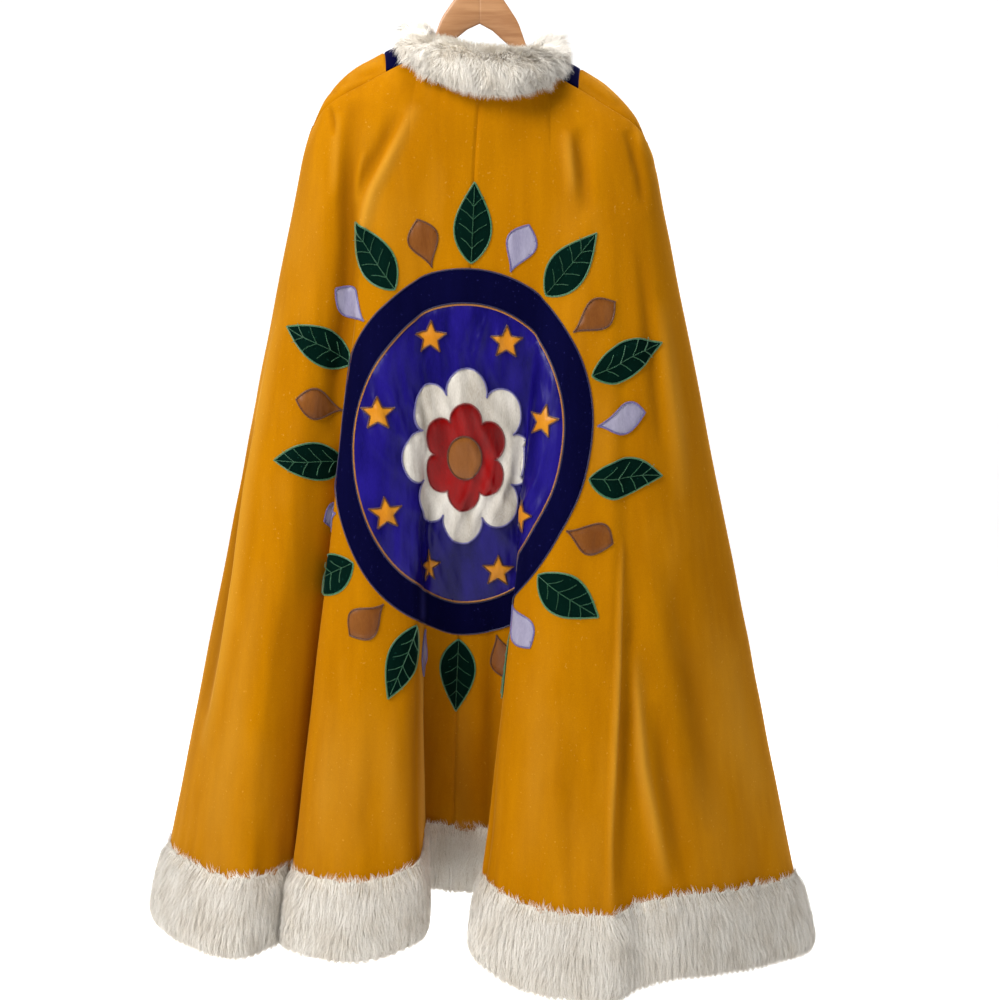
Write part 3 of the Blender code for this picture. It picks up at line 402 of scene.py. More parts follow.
# Colours as seen, dark to light
GOLD = ((141, 86, 1), (179, 117, 4))
NAVY = ((4, 4, 30), (14, 14, 52))
PURPLE = ((13, 7, 72), (34, 25, 116))
WHITE = ((158, 150, 138), (218, 213, 204))
RED = ((92, 0, 2), (140, 3, 4))
YELLOW = ((176, 106, 16), (198, 130, 32))
BRONZE = ((100, 56, 20), (130, 80, 36))
LILAC = ((122, 118, 142), (160, 156, 178))
GREEN = ((1, 20, 17), (7, 35, 29))
FUR = ((216, 206, 190), (250, 246, 238))
FUR_ROOT = ((176, 164, 146), (206, 196, 180))
# Painted shade for the creases' troughs, and painted sheen for their crests and for broad patches of the gold
# velvet
GOLD_SHADE_AND_SHEEN = ((92, 50, 0), (204, 152, 58))
NO_SHARE = (0, 0, 0)
# Most of the painted sheen in broad random patches
SHEEN_PATCH_SHARE = (112, 112, 112)
# Most of the painted shade in the creases' troughs, and of the painted sheen on their crests
PAINTED_SHADE_SHARE = (190, 190, 190)
PAINTED_SHEEN_SHARE = (178, 178, 178)
WOOD = ((145, 96, 58), (186, 139, 97))


# Curves and surfaces of the part

def smooth_curve(stations, values, places, free=False):
    """Values at places on a smooth curve through the stations, which swings past them only if free."""
    stations = np.asarray(stations, float)
    values = np.asarray(values, float)
    places = np.asarray(places, float)
    step = np.diff(stations)[:, None]
    slope = np.diff(values, axis=0) / step
    before, after = slope[:-1], slope[1:]
    if free:
        inner = (before * step[1:] + after * step[:-1]) / (step[:-1] + step[1:])
    else:
        weight_before = step[:-1] + 2 * step[1:]
        weight_after = 2 * step[:-1] + step[1:]
        same_way = before * after > 0
        blend = np.where(same_way, weight_before * after + weight_after * before, 1.0)
        inner = np.where(same_way, (weight_before + weight_after) * before * after / blend, 0.0)
    tangent = np.vstack([slope[:1], inner, slope[-1:]])
    index = np.clip(np.searchsorted(stations, places, side="right") - 1, 0, len(step) - 1)
    h = step[index]
    s = (places - stations[index])[:, None] / h
    start = (1 + 2 * s) * (1 - s) ** 2 * values[index] + s * (1 - s) ** 2 * h * tangent[index]
    end = s * s * (3 - 2 * s) * values[index + 1] + s * s * (s - 1) * h * tangent[index + 1]
    return start + end


def unit(vectors):
    """Vectors of length one."""
    return vectors / np.maximum(np.linalg.norm(vectors, axis=-1, keepdims=True), 1e-12)


def lengths_along(points):
    """The length of a line of points up to each of them."""
    return np.concatenate([[0.0], np.cumsum(np.linalg.norm(np.diff(points, axis=0), axis=1))])


def looked_up(grid, rows, columns, down, across):
    """Values of a grid at shares past whole rows and columns."""
    upper = grid[rows, columns] * (1 - across) + grid[rows, columns + 1] * across
    lower = grid[rows + 1, columns] * (1 - across) + grid[rows + 1, columns + 1] * across
    return upper * (1 - down) + lower * down


def tilted(points):
    """Points of the hanging cape, lower towards +X."""
    points = np.array(points, float)
    points[..., 2] -= HANG_TILT * points[..., 0]
    return points


def front_folds(side, sign):
    """The folds that both fronts have, named and placed for one of them."""
    rows = []
    for name, chest, face, onset, x, *rest in FRONT_FOLDS:
        rows.append((f"{name}_{side}", sign * chest, face, onset, sign * x, *rest))
    return rows


FOLDS = [*front_folds("left", -1), *BACK_FOLDS, *reversed(front_folds("right", 1))]
FOLD_NAMES = [row[0] for row in FOLDS]
FOLD_VALUES = np.array([row[1:] for row in FOLDS], float)
FOLD_CHEST, FOLD_FACE, FOLD_ONSET, FOLD_X, FOLD_Y, FOLD_RISE, FOLD_PILE = FOLD_VALUES.T
FOLD_PLACES = np.concatenate([[0.0], np.cumsum(np.hypot(np.diff(FOLD_X), np.diff(FOLD_Y)))])


def place_of(name):
    """Where a fold line lies along the hem."""
    return FOLD_PLACES[FOLD_NAMES.index(name)]


def fold_lines(drop):
    """Each fold line's point at a share of the drop from the chest to the hem."""
    share = np.clip(np.abs(FOLD_CHEST) / CHEST_HALF_WIDTH, 0.0, 1.0)
    chest_y = FOLD_FACE * CHEST_HALF_DEPTH * (1 - share ** CHEST_SQUARENESS) ** (1 / CHEST_SQUARENESS)
    growth = np.clip((drop - FOLD_ONSET) / (1 - FOLD_ONSET), 0.0, None)
    growth = growth ** np.where(FOLD_ONSET > 0, FOLD_GROWTH, 1.0)
    x = FOLD_CHEST + (FOLD_X - FOLD_CHEST) * drop
    y = chest_y + (FOLD_Y - chest_y) * growth
    z = CHEST_Z + (HEM_Z + FOLD_RISE - CHEST_Z) * drop
    return np.column_stack([x, y, z])


def section(drop, places):
    """The cape's section at a share of the drop, at places along the hem."""
    return smooth_curve(FOLD_PLACES, fold_lines(drop), places)


def slipped(shares, points):
    """Points of the upper edge, moved towards +X and down that way, most at the neck."""
    amount = (1 - np.abs(shares))[:, None]
    moved = points + np.array([NECK_SHIFT, 0.0, 0.0]) * amount
    moved[:, 2:] -= NECK_SLIP * points[:, :1] * amount
    return moved


def neck_line(count):
    """The neck seam from the left front edge to the right one: the table's columns from share on."""
    right = np.array([row[1:] for row in NECK])
    left = right[:0:-1] * np.where(np.arange(right.shape[1]) < 2, -1, 1)
    rows = np.vstack([left, right])
    rows[:, 1:4] = slipped(rows[:, 0], rows[:, 1:4])
    stations = lengths_along(rows[:, 1:4])
    places = np.linspace(0.0, stations[-1], count)
    line = smooth_curve(stations, rows, places, free=True)
    line[:, 0] = smooth_curve(stations, rows[:, :1], places)[:, 0]
    return line


def upper_edge(face, shares):
    """Points of the back's or the fronts' upper edge, at signed shares of the half width."""
    line = neck_line(NECK_POINTS)
    corners = int(np.argmin(line[:, 0])), int(np.argmax(line[:, 0]))
    seam = np.array(SHOULDER)
    points = np.empty((len(shares), 3))
    if face == "back":
        part = line[corners[0]:corners[1] + 1]
    else:
        part = np.vstack([line[corners[0]::-1], line[:corners[1] - 1:-1]])
    for axis in range(3):
        points[:, axis] = np.interp(shares, part[:, 0], part[:, axis + 1])
    for side in (-1, 1):
        on_seam = shares * side >= seam[0, 0]
        found = smooth_curve(seam[:, 0], seam[:, 1:], shares[on_seam] * side)
        points[on_seam] = slipped(shares[on_seam], found * np.array([side, 1, 1]))
    return points


def lean(face, shares):
    """The way the cloth leaves that edge."""
    rows = np.array(BACK_LEAN if face == "back" else FRONT_LEAN)
    ways = smooth_curve(rows[:, 0], rows[:, 1:], np.abs(shares))
    ways[:, 0] *= np.sign(shares)
    return ways


def shoulder(face, places):
    """Rows of a panel from its upper edge down to the chest."""
    chest = section(0.0, places)
    fall = unit(section(CHEST_FALL, places) - chest)
    shares = np.clip(chest[:, 0] / CHEST_HALF_WIDTH, -1.0, 1.0)
    edge = upper_edge(face, shares)
    start_way = lean(face, shares)
    reach = np.linalg.norm(chest - edge, axis=1, keepdims=True)
    rows = []
    for q in np.linspace(0.0, 1.0, SHOULDER_ROWS + 1)[:-1] ** SHOULDER_CROWDING:
        start = (1 + 2 * q) * (1 - q) ** 2 * edge + q * (1 - q) ** 2 * start_way
        end = q * q * (3 - 2 * q) * chest + q * q * (q - 1) * fall * reach
        rows.append(start + end)
    return rows


def bisected(grid, axis):
    """The way along a grid at each of its points, midway between the steps to its two neighbours."""
    steps = unit(np.diff(grid, axis=axis))
    first = np.take(steps, [0], axis=axis)
    last = np.take(steps, [-1], axis=axis)
    return np.concatenate([first, steps], axis=axis) + np.concatenate([steps, last], axis=axis)


def outward(grid):
    """Unit normals of a grid of points, away from the wearer."""
    return unit(np.cross(bisected(grid, 0), bisected(grid, 1)))


def fine_places(lines, spacing):
    """Places along the hem between fold lines that are seams, closer together at the seams."""
    found = []
    for first, last in zip(lines, lines[1:]):
        start, end = place_of(first), place_of(last)
        count = max(2, round((end - start) / spacing))
        found += list(np.linspace(start, end, count + 1))
        for close in SEAM_COLUMNS:
            found += [start + close, end - close]
    return np.unique(np.round(found, 6))


def grid_tree(grids):
    """Grids of points as one surface that rays can meet."""
    points = []
    faces = []
    for grid in grids:
        faces += grid_faces(*grid.shape[:2], len(points)).tolist()
        points += grid.reshape(-1, 3).tolist()
    return BVHTree.FromPolygons(points, faces)


def seen_at(pixels, tree):
    """X and Z of the cloth that the photograph shows at some of its pixels."""
    eye = Vector(CAMERA_PLACE)
    ahead = Vector(CAMERA_AIM) - eye
    across = Vector((1.0, 0.0, 0.0))
    up = across.cross(ahead).normalized()
    places = []
    for x, y in np.array(pixels) - PHOTO_WIDTH / 2:
        way = ahead + (across * x - up * y) * FRAME_WIDTH / PHOTO_WIDTH
        found = tree.ray_cast(eye, way.normalized())[0]
        places.append((found.x, found.z))
    return places


def crease_heights(points, normals, creases, facing):
    """How far creases lift a grid's points, where the cloth faces their way."""
    flat = points[..., [0, 2]].reshape(-1, 2)
    lift = np.zeros(len(flat))
    for half_width, height, route in creases:
        route = np.array(route)
        lengths = np.linalg.norm(np.diff(route, axis=0), axis=1)
        along = lengths_along(route)
        best = np.full(len(flat), np.inf)
        where = np.zeros(len(flat))
        for k, length in enumerate(lengths):
            way = (route[k + 1] - route[k]) / length
            share = np.clip((flat - route[k]) @ way, 0.0, length)
            distance = np.linalg.norm(flat - route[k] - share[:, None] * way, axis=1)
            closer = distance < best
            best = np.where(closer, distance, best)
            where = np.where(closer, along[k] + share, where)
        taper = np.sin(np.pi * np.clip(where / along[-1], 0.0, 1.0)) ** CREASE_TAPER
        lift += height * np.exp(-(best / half_width) ** 2) * taper
    turned = np.clip(normals[..., 1] * facing / CREASE_TURN, 0.0, 1.0)
    return lift.reshape(points.shape[:2]) * turned


def unevenness(grid):
    """The slight waves of hanging velvet."""
    x, z = grid[..., 0], grid[..., 2]
    return UNEVENNESS * np.sin(x * 71 + 3 * np.sin(z * 9)) * np.sin(z * 23)


def gathers(chest, top):
    """The small gathers under the collar, by X at the chest and distance from the upper edge."""
    wave = np.sin(chest * 370 + 2.1 * np.sin(chest * 61)) * (0.6 + 0.4 * np.sin(chest * 97))
    wave *= np.clip((NECK_GATHER_WIDTH - np.abs(chest)) / NECK_GATHER_FADE, 0.0, 1.0)
    return NECK_GATHER * wave * np.exp(-(top / NECK_GATHER_REACH) ** 2)


def puckers(places, low):
    """The puckers over the fur border's seam, by place along the hem and distance from the lower edge."""
    wave = np.sin(places * 190 + 2.4 * np.sin(places * 11))
    wave *= 0.5 + 0.5 * np.sin(places * 7.3 + 1)
    return HEM_PUCKER * wave * np.exp(-(low / HEM_PUCKER_REACH) ** 2)


class Cloth:
    """One stretch of velvet as a fine grid, with its seams turned in and its creases."""

    def __init__(self, face, seams, spacing, creases, picked=()):
        self.places = fine_places(seams, spacing)
        rows = shoulder(face, self.places)
        for drop in np.linspace(0.0, BORDER_DROP + VELVET_LAP, DROP_ROWS + 1):
            rows.append(section(drop, self.places))
        grid = tilted(np.array(rows))
        normals = outward(grid)
        tree = grid_tree([grid + normals * CLOTH / 2])
        routes = [(width, height, seen_at(pixels, tree)) for width, height, pixels in picked]
        creased = crease_heights(grid, normals, routes, -1)
        for table, facing in creases:
            creased += crease_heights(grid, normals, table, facing)
        top = np.linalg.norm(grid - grid[:1], axis=2)
        side = self.distance(("side_left", "side_right"))
        off_top = 1 - np.exp(-(top / SEAM_FADE) ** 2)
        off_side = 1 - np.exp(-(side / SEAM_FADE) ** 2)
        creased *= off_top * off_side
        # Painted light from the creases: below a half it is painted shade in the troughs, above a half
        # painted sheen on the crests
        self.crease_light = np.clip(0.5 + creased / CREASE_LIGHT_HEIGHT, 0.0, 1.0)
        lift = CLOTH / 2 + creased + unevenness(grid)
        lift += gathers(grid[SHOULDER_ROWS, :, 0], top)
        lift += puckers(self.places, np.linalg.norm(grid - grid[-1:], axis=2))
        self.bridged = grid + normals * lift[..., None]
        distance = self.distance(seams)
        lift -= SEAM_ROLL * np.exp(-(distance / SEAM_REACH) ** 2) * off_top
        lift -= SEAM_ROLL * np.exp(-(top / SEAM_REACH) ** 2) * off_side
        self.points = grid + normals * lift[..., None]

    def distance(self, lines):
        """How far along the hem each column is from the nearest of some fold lines."""
        return np.min([np.abs(self.places - place_of(line)) for line in lines], axis=0)

    def column_of(self, line):
        """The column that follows a seam."""
        return int(np.argmin(np.abs(self.places - place_of(line))))

    def piece(self, first, last):
        """The points from one seam to another."""
        return self.points[:, self.column_of(first):self.column_of(last) + 1]

    def shade_and_sheen(self, first, last):
        """Painted shade and sheen from the creases, from one seam to another: a half where the cloth is flat,
        less in the troughs, more on the ridges.
        """
        return self.crease_light[:, self.column_of(first):self.column_of(last) + 1]


# Materials

def linear(seen):
    """A colour as seen, made linear, with alpha."""
    return (*[(value / 255) ** 2.2 for value in seen], 1.0)


class Finish:
    """A material with its nodes."""

    def __init__(self, name, roughness):
        self.made = bpy.data.materials.new(name)
        self.made.use_nodes = True
        self.nodes = self.made.node_tree.nodes
        self.links = self.made.node_tree.links
        self.shader = self.nodes["Principled BSDF"]
        self.shader.inputs["Roughness"].default_value = roughness
        self.place = self.nodes.new("ShaderNodeTexCoord").outputs["Object"]
        self.normal = None

    def value(self, socket, number):
        """Sets one of the shader's sockets."""
        self.shader.inputs[socket].default_value = number

    def stretched(self, scale, turn=(0.0, 0.0, 0.0)):
        """Object coordinates, scaled and turned."""
        mapping = self.nodes.new("ShaderNodeMapping")
        mapping.inputs["Scale"].default_value = scale
        mapping.inputs["Rotation"].default_value = turn
        self.links.new(self.place, mapping.inputs["Vector"])
        return mapping.outputs["Vector"]

    def noise(self, scale, detail=3.0, place=None):
        """A noise pattern."""
        node = self.nodes.new("ShaderNodeTexNoise")
        node.inputs["Scale"].default_value = scale
        node.inputs["Detail"].default_value = detail
        self.links.new(place or self.place, node.inputs["Vector"])
        return node.outputs["Fac"]

    def ramp(self, fac, colours, low=0.3, high=0.7):
        """Colours between a pattern's low and high values."""
        node = self.nodes.new("ShaderNodeValToRGB")
        node.color_ramp.elements[0].position = low
        node.color_ramp.elements[1].position = high
        node.color_ramp.elements[0].color = linear(colours[0])
        node.color_ramp.elements[1].color = linear(colours[1])
        self.links.new(fac, node.inputs["Fac"])
        return node.outputs["Color"]

    def mixed(self, first, second, share):
        """Two colours mixed, by one share or by a pattern of shares."""
        node = self.nodes.new("ShaderNodeMix")
        node.data_type = "RGBA"
        if isinstance(share, float):
            node.inputs["Factor"].default_value = share
        else:
            self.links.new(share, node.inputs["Factor"])
        self.links.new(first, node.inputs["A"])
        self.links.new(second, node.inputs["B"])
        return node.outputs["Result"]

    def plain(self, colour):
        """One colour all over."""
        node = self.nodes.new("ShaderNodeRGB")
        node.outputs["Color"].default_value = linear(colour)
        return node.outputs["Color"]

    def stored(self, name):
        """A value that the mesh has at its points."""
        node = self.nodes.new("ShaderNodeAttribute")
        node.attribute_name = name
        return node.outputs["Fac"]

    def paint(self, colour):
        """Takes a colour pattern as the base colour."""
        self.links.new(colour, self.shader.inputs["Base Color"])

    def bump(self, heights, strength, distance):
        """Adds bumps from patterns to those that are there, the finest last."""
        for height in heights:
            node = self.nodes.new("ShaderNodeBump")
            node.inputs["Strength"].default_value = strength
            node.inputs["Distance"].default_value = distance
            self.links.new(height, node.inputs["Height"])
            if self.normal is not None:
                self.links.new(self.normal, node.inputs["Normal"])
            self.normal = node.outputs["Normal"]
        self.links.new(self.normal, self.shader.inputs["Normal"])


def velvet(name, colours, sheen, tint, shade_and_sheen=None):
    """Velvet: broad patches of brushed nap, fine pile, specks of lint and a soft sheen; given shade and sheen
    colours, also painted sheen in broad patches and painted shade and sheen along the creases.
    """
    finish = Finish(name, 0.9)
    nap = finish.ramp(finish.noise(17.0, 4.0, finish.stretched((1.0, 1.0, 0.22))), colours)
    streaks = finish.ramp(finish.noise(75.0, 3.0, finish.stretched((1.0, 1.0, 0.10))), colours)
    pile = finish.ramp(finish.noise(900.0, 2.0), colours)
    lint = finish.ramp(finish.noise(250.0, 1.0), (colours[1], tint), 0.70, 0.78)
    cloth = finish.mixed(finish.mixed(nap, streaks, 0.35), pile, 0.4)
    cloth = finish.mixed(cloth, lint, 0.16)
    if shade_and_sheen:
        dark, pale = [finish.plain(colour) for colour in shade_and_sheen]
        # Painted sheen: the pale colour in broad random patches
        sheen_patches = finish.noise(8.0, 4.0, finish.stretched((1.0, 1.0, 0.35)))
        cloth = finish.mixed(cloth, pale, finish.ramp(sheen_patches, (NO_SHARE, SHEEN_PATCH_SHARE), 0.50, 0.72))
        # Painted shade in the creases' troughs and painted sheen on their crests, from the crease light
        # stored at the points
        crease_light = finish.stored("crease_light")
        cloth = finish.mixed(cloth, dark, finish.ramp(crease_light, (PAINTED_SHADE_SHARE, NO_SHARE), 0.0, 0.5))
        cloth = finish.mixed(cloth, pale, finish.ramp(crease_light, (NO_SHARE, PAINTED_SHEEN_SHARE), 0.5, 1.0))
    finish.paint(cloth)
    finish.value("Sheen Weight", sheen)
    finish.value("Sheen Roughness", 0.30)
    finish.value("Sheen Tint", linear(tint))
    finish.value("Specular IOR Level", 0.03)
    finish.bump([finish.noise(60.0, 3.0), finish.noise(1300.0, 2.0)], 0.22, 0.0006)
    return finish.made


def satin(name, colours, roughness=0.32, gloss=0.24):
    """Satin: a smooth weave with soft puckers and a broad gloss."""
    finish = Finish(name, roughness)
    sheen = finish.ramp(finish.noise(30.0, 3.0, finish.stretched((1.0, 1.0, 0.3), (0.0, 0.25, 0.0))), colours,
                        0.36, 0.64)
    weave = finish.ramp(finish.noise(1500.0, 1.0, finish.stretched((1.0, 1.0, 0.12))), colours)
    finish.paint(finish.mixed(sheen, weave, 0.3))
    finish.value("Anisotropic", 0.5)
    finish.value("Specular IOR Level", gloss)
    pucker = finish.noise(46.0, 2.0, finish.stretched((1.0, 1.0, 0.25), (0.0, 0.3, 0.0)))
    weave = finish.noise(1800.0, 1.0, finish.stretched((1.0, 1.0, 0.1)))
    finish.bump([pucker], 0.6, 0.006)
    finish.bump([weave], 0.12, 0.0004)
    return finish.made


def thread(name, colours):
    """Shiny sewing thread."""
    finish = Finish(name, 0.42)
    finish.paint(finish.ramp(finish.noise(700.0, 2.0), colours))
    finish.value("Sheen Weight", 0.2)
    finish.value("Specular IOR Level", 0.5)
    finish.bump([finish.noise(2600.0, 1.0)], 0.3, 0.0003)
    return finish.made


def fur(name, colours):
    """Soft white fur, creamier in patches."""
    finish = Finish(name, 0.72)
    tuft = finish.ramp(finish.noise(26.0, 3.0), colours, 0.25, 0.6)
    hair = finish.ramp(finish.noise(420.0, 2.0), colours, 0.25, 0.65)
    finish.paint(finish.mixed(tuft, hair, 0.5))
    finish.value("Sheen Weight", 0.25)
    finish.value("Specular IOR Level", 0.25)
    finish.bump([finish.noise(500.0, 2.0)], 0.2, 0.0006)
    return finish.made


def wood(name):
    """Pale varnished wood with its grain along the arms."""
    finish = Finish(name, 0.42)
    grain = finish.noise(38.0, 5.0, finish.stretched((0.22, 1.0, 2.4)))
    fibre = finish.noise(240.0, 3.0, finish.stretched((0.06, 1.0, 1.0)))
    finish.paint(finish.mixed(finish.ramp(grain, WOOD), finish.ramp(fibre, WOOD), 0.4))
    finish.value("Coat Weight", 0.25)
    finish.value("Coat Roughness", 0.3)
    finish.bump([fibre], 0.12, 0.0006)
    return finish.made


def steel(name):
    """Bright wire, drawn along its length."""
    finish = Finish(name, 0.26)
    finish.paint(finish.ramp(finish.noise(300.0, 2.0), ((150, 150, 152), (205, 205, 206))))
    finish.value("Metallic", 1.0)
    finish.bump([finish.noise(900.0, 2.0)], 0.08, 0.0003)
    return finish.made


# Meshes

def mesh_object(name, points, faces, finish, replaced=(), smooth=True, normals=None):
    """A piece from arrays of points and of faces, each array of faces with one number of corners."""
    mesh = bpy.data.meshes.new(name)
    points = np.asarray(points, np.float32).reshape(-1, 3)
    faces = [np.asarray(group, np.int32) for group in faces if len(group)]
    mesh.vertices.add(len(points))
    mesh.vertices.foreach_set("co", points.ravel())
    corners = np.concatenate([group.ravel() for group in faces])
    sizes = np.concatenate([np.full(len(group), group.shape[1], np.int32) for group in faces])
    mesh.loops.add(len(corners))
    mesh.loops.foreach_set("vertex_index", corners)
    mesh.polygons.add(len(sizes))
    mesh.polygons.foreach_set("loop_start", np.concatenate([[0], np.cumsum(sizes)[:-1]]).astype(np.int32))
    mesh.polygons.foreach_set("use_smooth", np.full(len(sizes), smooth))
    mesh.update(calc_edges=True)
    mesh.validate()
    if normals is not None:
        mesh.normals_split_custom_set_from_vertices(np.asarray(normals, float).reshape(-1, 3).tolist())
    mesh.materials.append(finish)
    made = bpy.data.objects.new(name, mesh)
    bpy.context.scene.collection.objects.link(made)
    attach(made, "root")
    if replaced:
        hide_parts(*replaced)
    return made


def grid_faces(rows, columns, first=0):
    """The four-cornered faces of a grid of points, seen from outside."""
    number = np.arange(rows * columns).reshape(rows, columns) + first
    corners = (number[:-1, :-1], number[1:, :-1], number[1:, 1:], number[:-1, 1:])
    return np.stack(corners, axis=-1).reshape(-1, 4)


def sheet_piece(name, cloth, first, last, finish, slot):
    """A velvet panel in place of its solid."""
    points = cloth.piece(first, last)
    made = mesh_object(name + "_velvet", points, [grid_faces(*points.shape[:2])], finish, [name])
    # Keeps the painted shade and sheen of the creases at the panel's points
    crease_light = made.data.attributes.new("crease_light", "FLOAT", "POINT")
    crease_light.data.foreach_set("value", cloth.shade_and_sheen(first, last).astype(np.float32).ravel())
    return made


def wall_faces(rows, columns):
    """The faces of a wall between two grids, the outer one first."""
    count = rows * columns
    outer = grid_faces(rows, columns)
    inner = grid_faces(rows, columns, count)[:, ::-1]
    number = np.arange(count).reshape(rows, columns)
    rim = np.concatenate([number[0, :-1], number[:-1, -1], number[-1, :0:-1], number[:0:-1, 0]])
    after = np.roll(rim, -1)
    sides = np.column_stack([rim, after, after + count, rim + count])
    return np.vstack([outer, inner, sides])


def band_piece(name, cloth, first, last, finish, slot):
    """A velvet band in place of its solid, closed, because its inside shows at the open front."""
    points = cloth.piece(first, last)
    inner = points - outward(points) * CLOTH
    return mesh_object(name + "_velvet", np.vstack([points.reshape(-1, 3), inner.reshape(-1, 3)]),
                       [wall_faces(*points.shape[:2])], finish, [name])


# Applique

class BackCloth:
    """The back's cloth laid flat: across from the centre-back seam, down from the chest."""

    def __init__(self, cloth):
        middle = cloth.column_of("centre_back")
        self.points = cloth.bridged
        self.normals = outward(cloth.bridged)
        steps = np.linalg.norm(np.diff(self.points, axis=1), axis=2)
        length = np.concatenate([np.zeros((len(self.points), 1)), np.cumsum(steps, axis=1)], axis=1)
        self.across = length - length[:, middle:middle + 1]
        down = lengths_along(self.points[:, middle])
        self.down = down - down[SHOULDER_ROWS]

    def lifted(self, places, heights):
        """Points above the cloth."""
        places = np.asarray(places, float)
        heights = np.broadcast_to(np.asarray(heights, float), len(places))
        rows = np.interp(places[:, 1], self.down, np.arange(len(self.down)))
        low = np.minimum(rows.astype(int), len(self.down) - 2)
        part = rows - low
        numbers = np.arange(self.across.shape[1])
        columns = np.empty(len(places))
        for k, (x, j, t) in enumerate(zip(places[:, 0], low, part)):
            columns[k] = np.interp(x, self.across[j] * (1 - t) + self.across[j + 1] * t, numbers)
        left = np.minimum(columns.astype(int), len(numbers) - 2)
        c = (columns - left)[:, None]
        r = part[:, None]
        points, normals = [looked_up(grid, low, left, r, c) for grid in (self.points, self.normals)]
        return points + unit(normals) * (heights + wrinkles(places))[:, None]


def wrinkles(places):
    """How far the medallion's satin and all that is sewn on it stand off the velvet; nothing at its rim."""
    x, y = places.T
    depth = FIELD_RADIUS - np.hypot(x, (y - MEDALLION_DOWN) / MEDALLION_STRETCH)
    ridges = 1 - np.abs(np.sin(x * 125 + 1.8 * np.sin(y * 24 + 1.3)))
    ridges *= 0.5 + 0.5 * np.sin(y * 29 + 2 * np.sin(x * 19))
    slanted = 1 - np.abs(np.sin(x * 95 - y * 62 + 1.6 * np.sin(x * 37)))
    ridges += 0.6 * slanted * (0.5 + 0.5 * np.sin(x * 43 - y * 17))
    return WRINKLE * ridges * (1 - np.exp(-np.clip(depth, 0.0, None) / WRINKLE_REACH))


def oval(radius, turn):
    """A point on an oval round the medallion's middle, by its turn from the top."""
    return radius * math.sin(turn), MEDALLION_DOWN - MEDALLION_STRETCH * radius * math.cos(turn)


def ellipse(radius):
    """A closed oval round the medallion's middle."""
    return np.array([oval(radius, turn) for turn in np.linspace(0, 2 * math.pi, 240, endpoint=False)])


def flower(radius, petals, depth):
    """A round flower with lobed petals."""
    outline = []
    for turn in np.linspace(0, 2 * math.pi, 320, endpoint=False):
        lobe = abs(math.cos(petals * turn / 2)) ** 0.6
        outline.append(oval(radius * (1 - depth + depth * lobe), turn))
    return np.array(outline)


def star(turn):
    """A small star on the field."""
    x, y = oval(STAR_PLACE, turn)
    outline = []
    for k in range(2 * STAR_POINTS):
        radius = STAR_RADIUS * (STAR_NOTCH if k % 2 else 1.0)
        point = math.pi * k / STAR_POINTS
        outline.append((x + radius * math.sin(point), y - radius * math.cos(point)))
    return np.array(outline)


def spray_frame(turn):
    """Where a shape stands on the ring, which way it points, and the way across it."""
    radius = FIELD_RADIUS + RING_WIDTH + APPLIQUE_ROOM
    start = np.array(oval(radius, turn))
    along = unit(np.array(oval(radius, turn + 0.01)) - start)
    return start, np.array([along[1], -along[0]]), along


def spray(turn, length, half_width, fullness):
    """A pointed shape that stands outwards from the ring.  fullness: where along it it is widest."""
    start, way, along = spray_frame(turn)
    power = math.log(0.5) / math.log(fullness)
    halves = []
    for sign in (1, -1):
        half = []
        for share in np.linspace(0, 1, 25):
            width = half_width * math.sin(math.pi * share ** power)
            half.append(start + way * length * share + along * sign * width)
        halves.append(half)
    return np.array(halves[0] + halves[1][-2:0:-1])


def veins(turn, length, half_width):
    """The middle vein of a leaf and its side veins."""
    start, way, along = spray_frame(turn)
    lines = [[start + way * length * share for share in (0.02, 0.25, 0.5, 0.75, 0.94)]]
    for share in (0.18, 0.36, 0.54, 0.70):
        reach = half_width * (1.0 - abs(share - 0.42)) * 0.78
        root = start + way * length * share
        for sign in (1, -1):
            lines.append([root, root + along * sign * reach * 0.5 + way * length * 0.075,
                          root + along * sign * reach + way * length * 0.125])
    return [np.array(line) for line in lines]


def resampled(line, pitch, closed):
    """Points at even steps along a line, with the way along it there."""
    line = np.vstack([line, line[:1]]) if closed else np.asarray(line)
    along = lengths_along(line)
    count = max(2, int(along[-1] / pitch))
    places = (np.arange(count) + 0.5) * along[-1] / count
    points = np.column_stack([np.interp(places, along, line[:, axis]) for axis in range(2)])
    index = np.clip(np.searchsorted(along, places) - 1, 0, len(line) - 2)
    return points, unit(np.diff(line, axis=0))[index]


def edge_distance(points, loops):
    """Distance of points from the nearest outline."""
    best = np.full(len(points), np.inf)
    for loop in loops:
        for a, b in zip(loop, np.roll(loop, -1, axis=0)):
            way = b - a
            share = np.clip((points - a) @ way / max(way @ way, 1e-12), 0.0, 1.0)
            best = np.minimum(best, np.linalg.norm(points - a - share[:, None] * way, axis=1))
    return best


def inside(points, loops):
    """Which points lie in the area between closed loops."""
    odd = np.zeros(len(points), bool)
    x, y = points.T
    for loop in loops:
        for (xa, ya), (xb, yb) in zip(loop, np.roll(loop, -1, axis=0)):
            if ya != yb:
                odd ^= ((ya > y) != (yb > y)) & (x < xa + (y - ya) / (yb - ya) * (xb - xa))
    return odd


def divided(outline, pitch):
    """A closed outline with points added between its corners."""
    points = []
    for a, b in zip(outline, np.roll(outline, -1, axis=0)):
        count = max(1, math.ceil(np.linalg.norm(b - a) / pitch))
        points += [a + (b - a) * k / count for k in range(count)]
    return np.array(points)


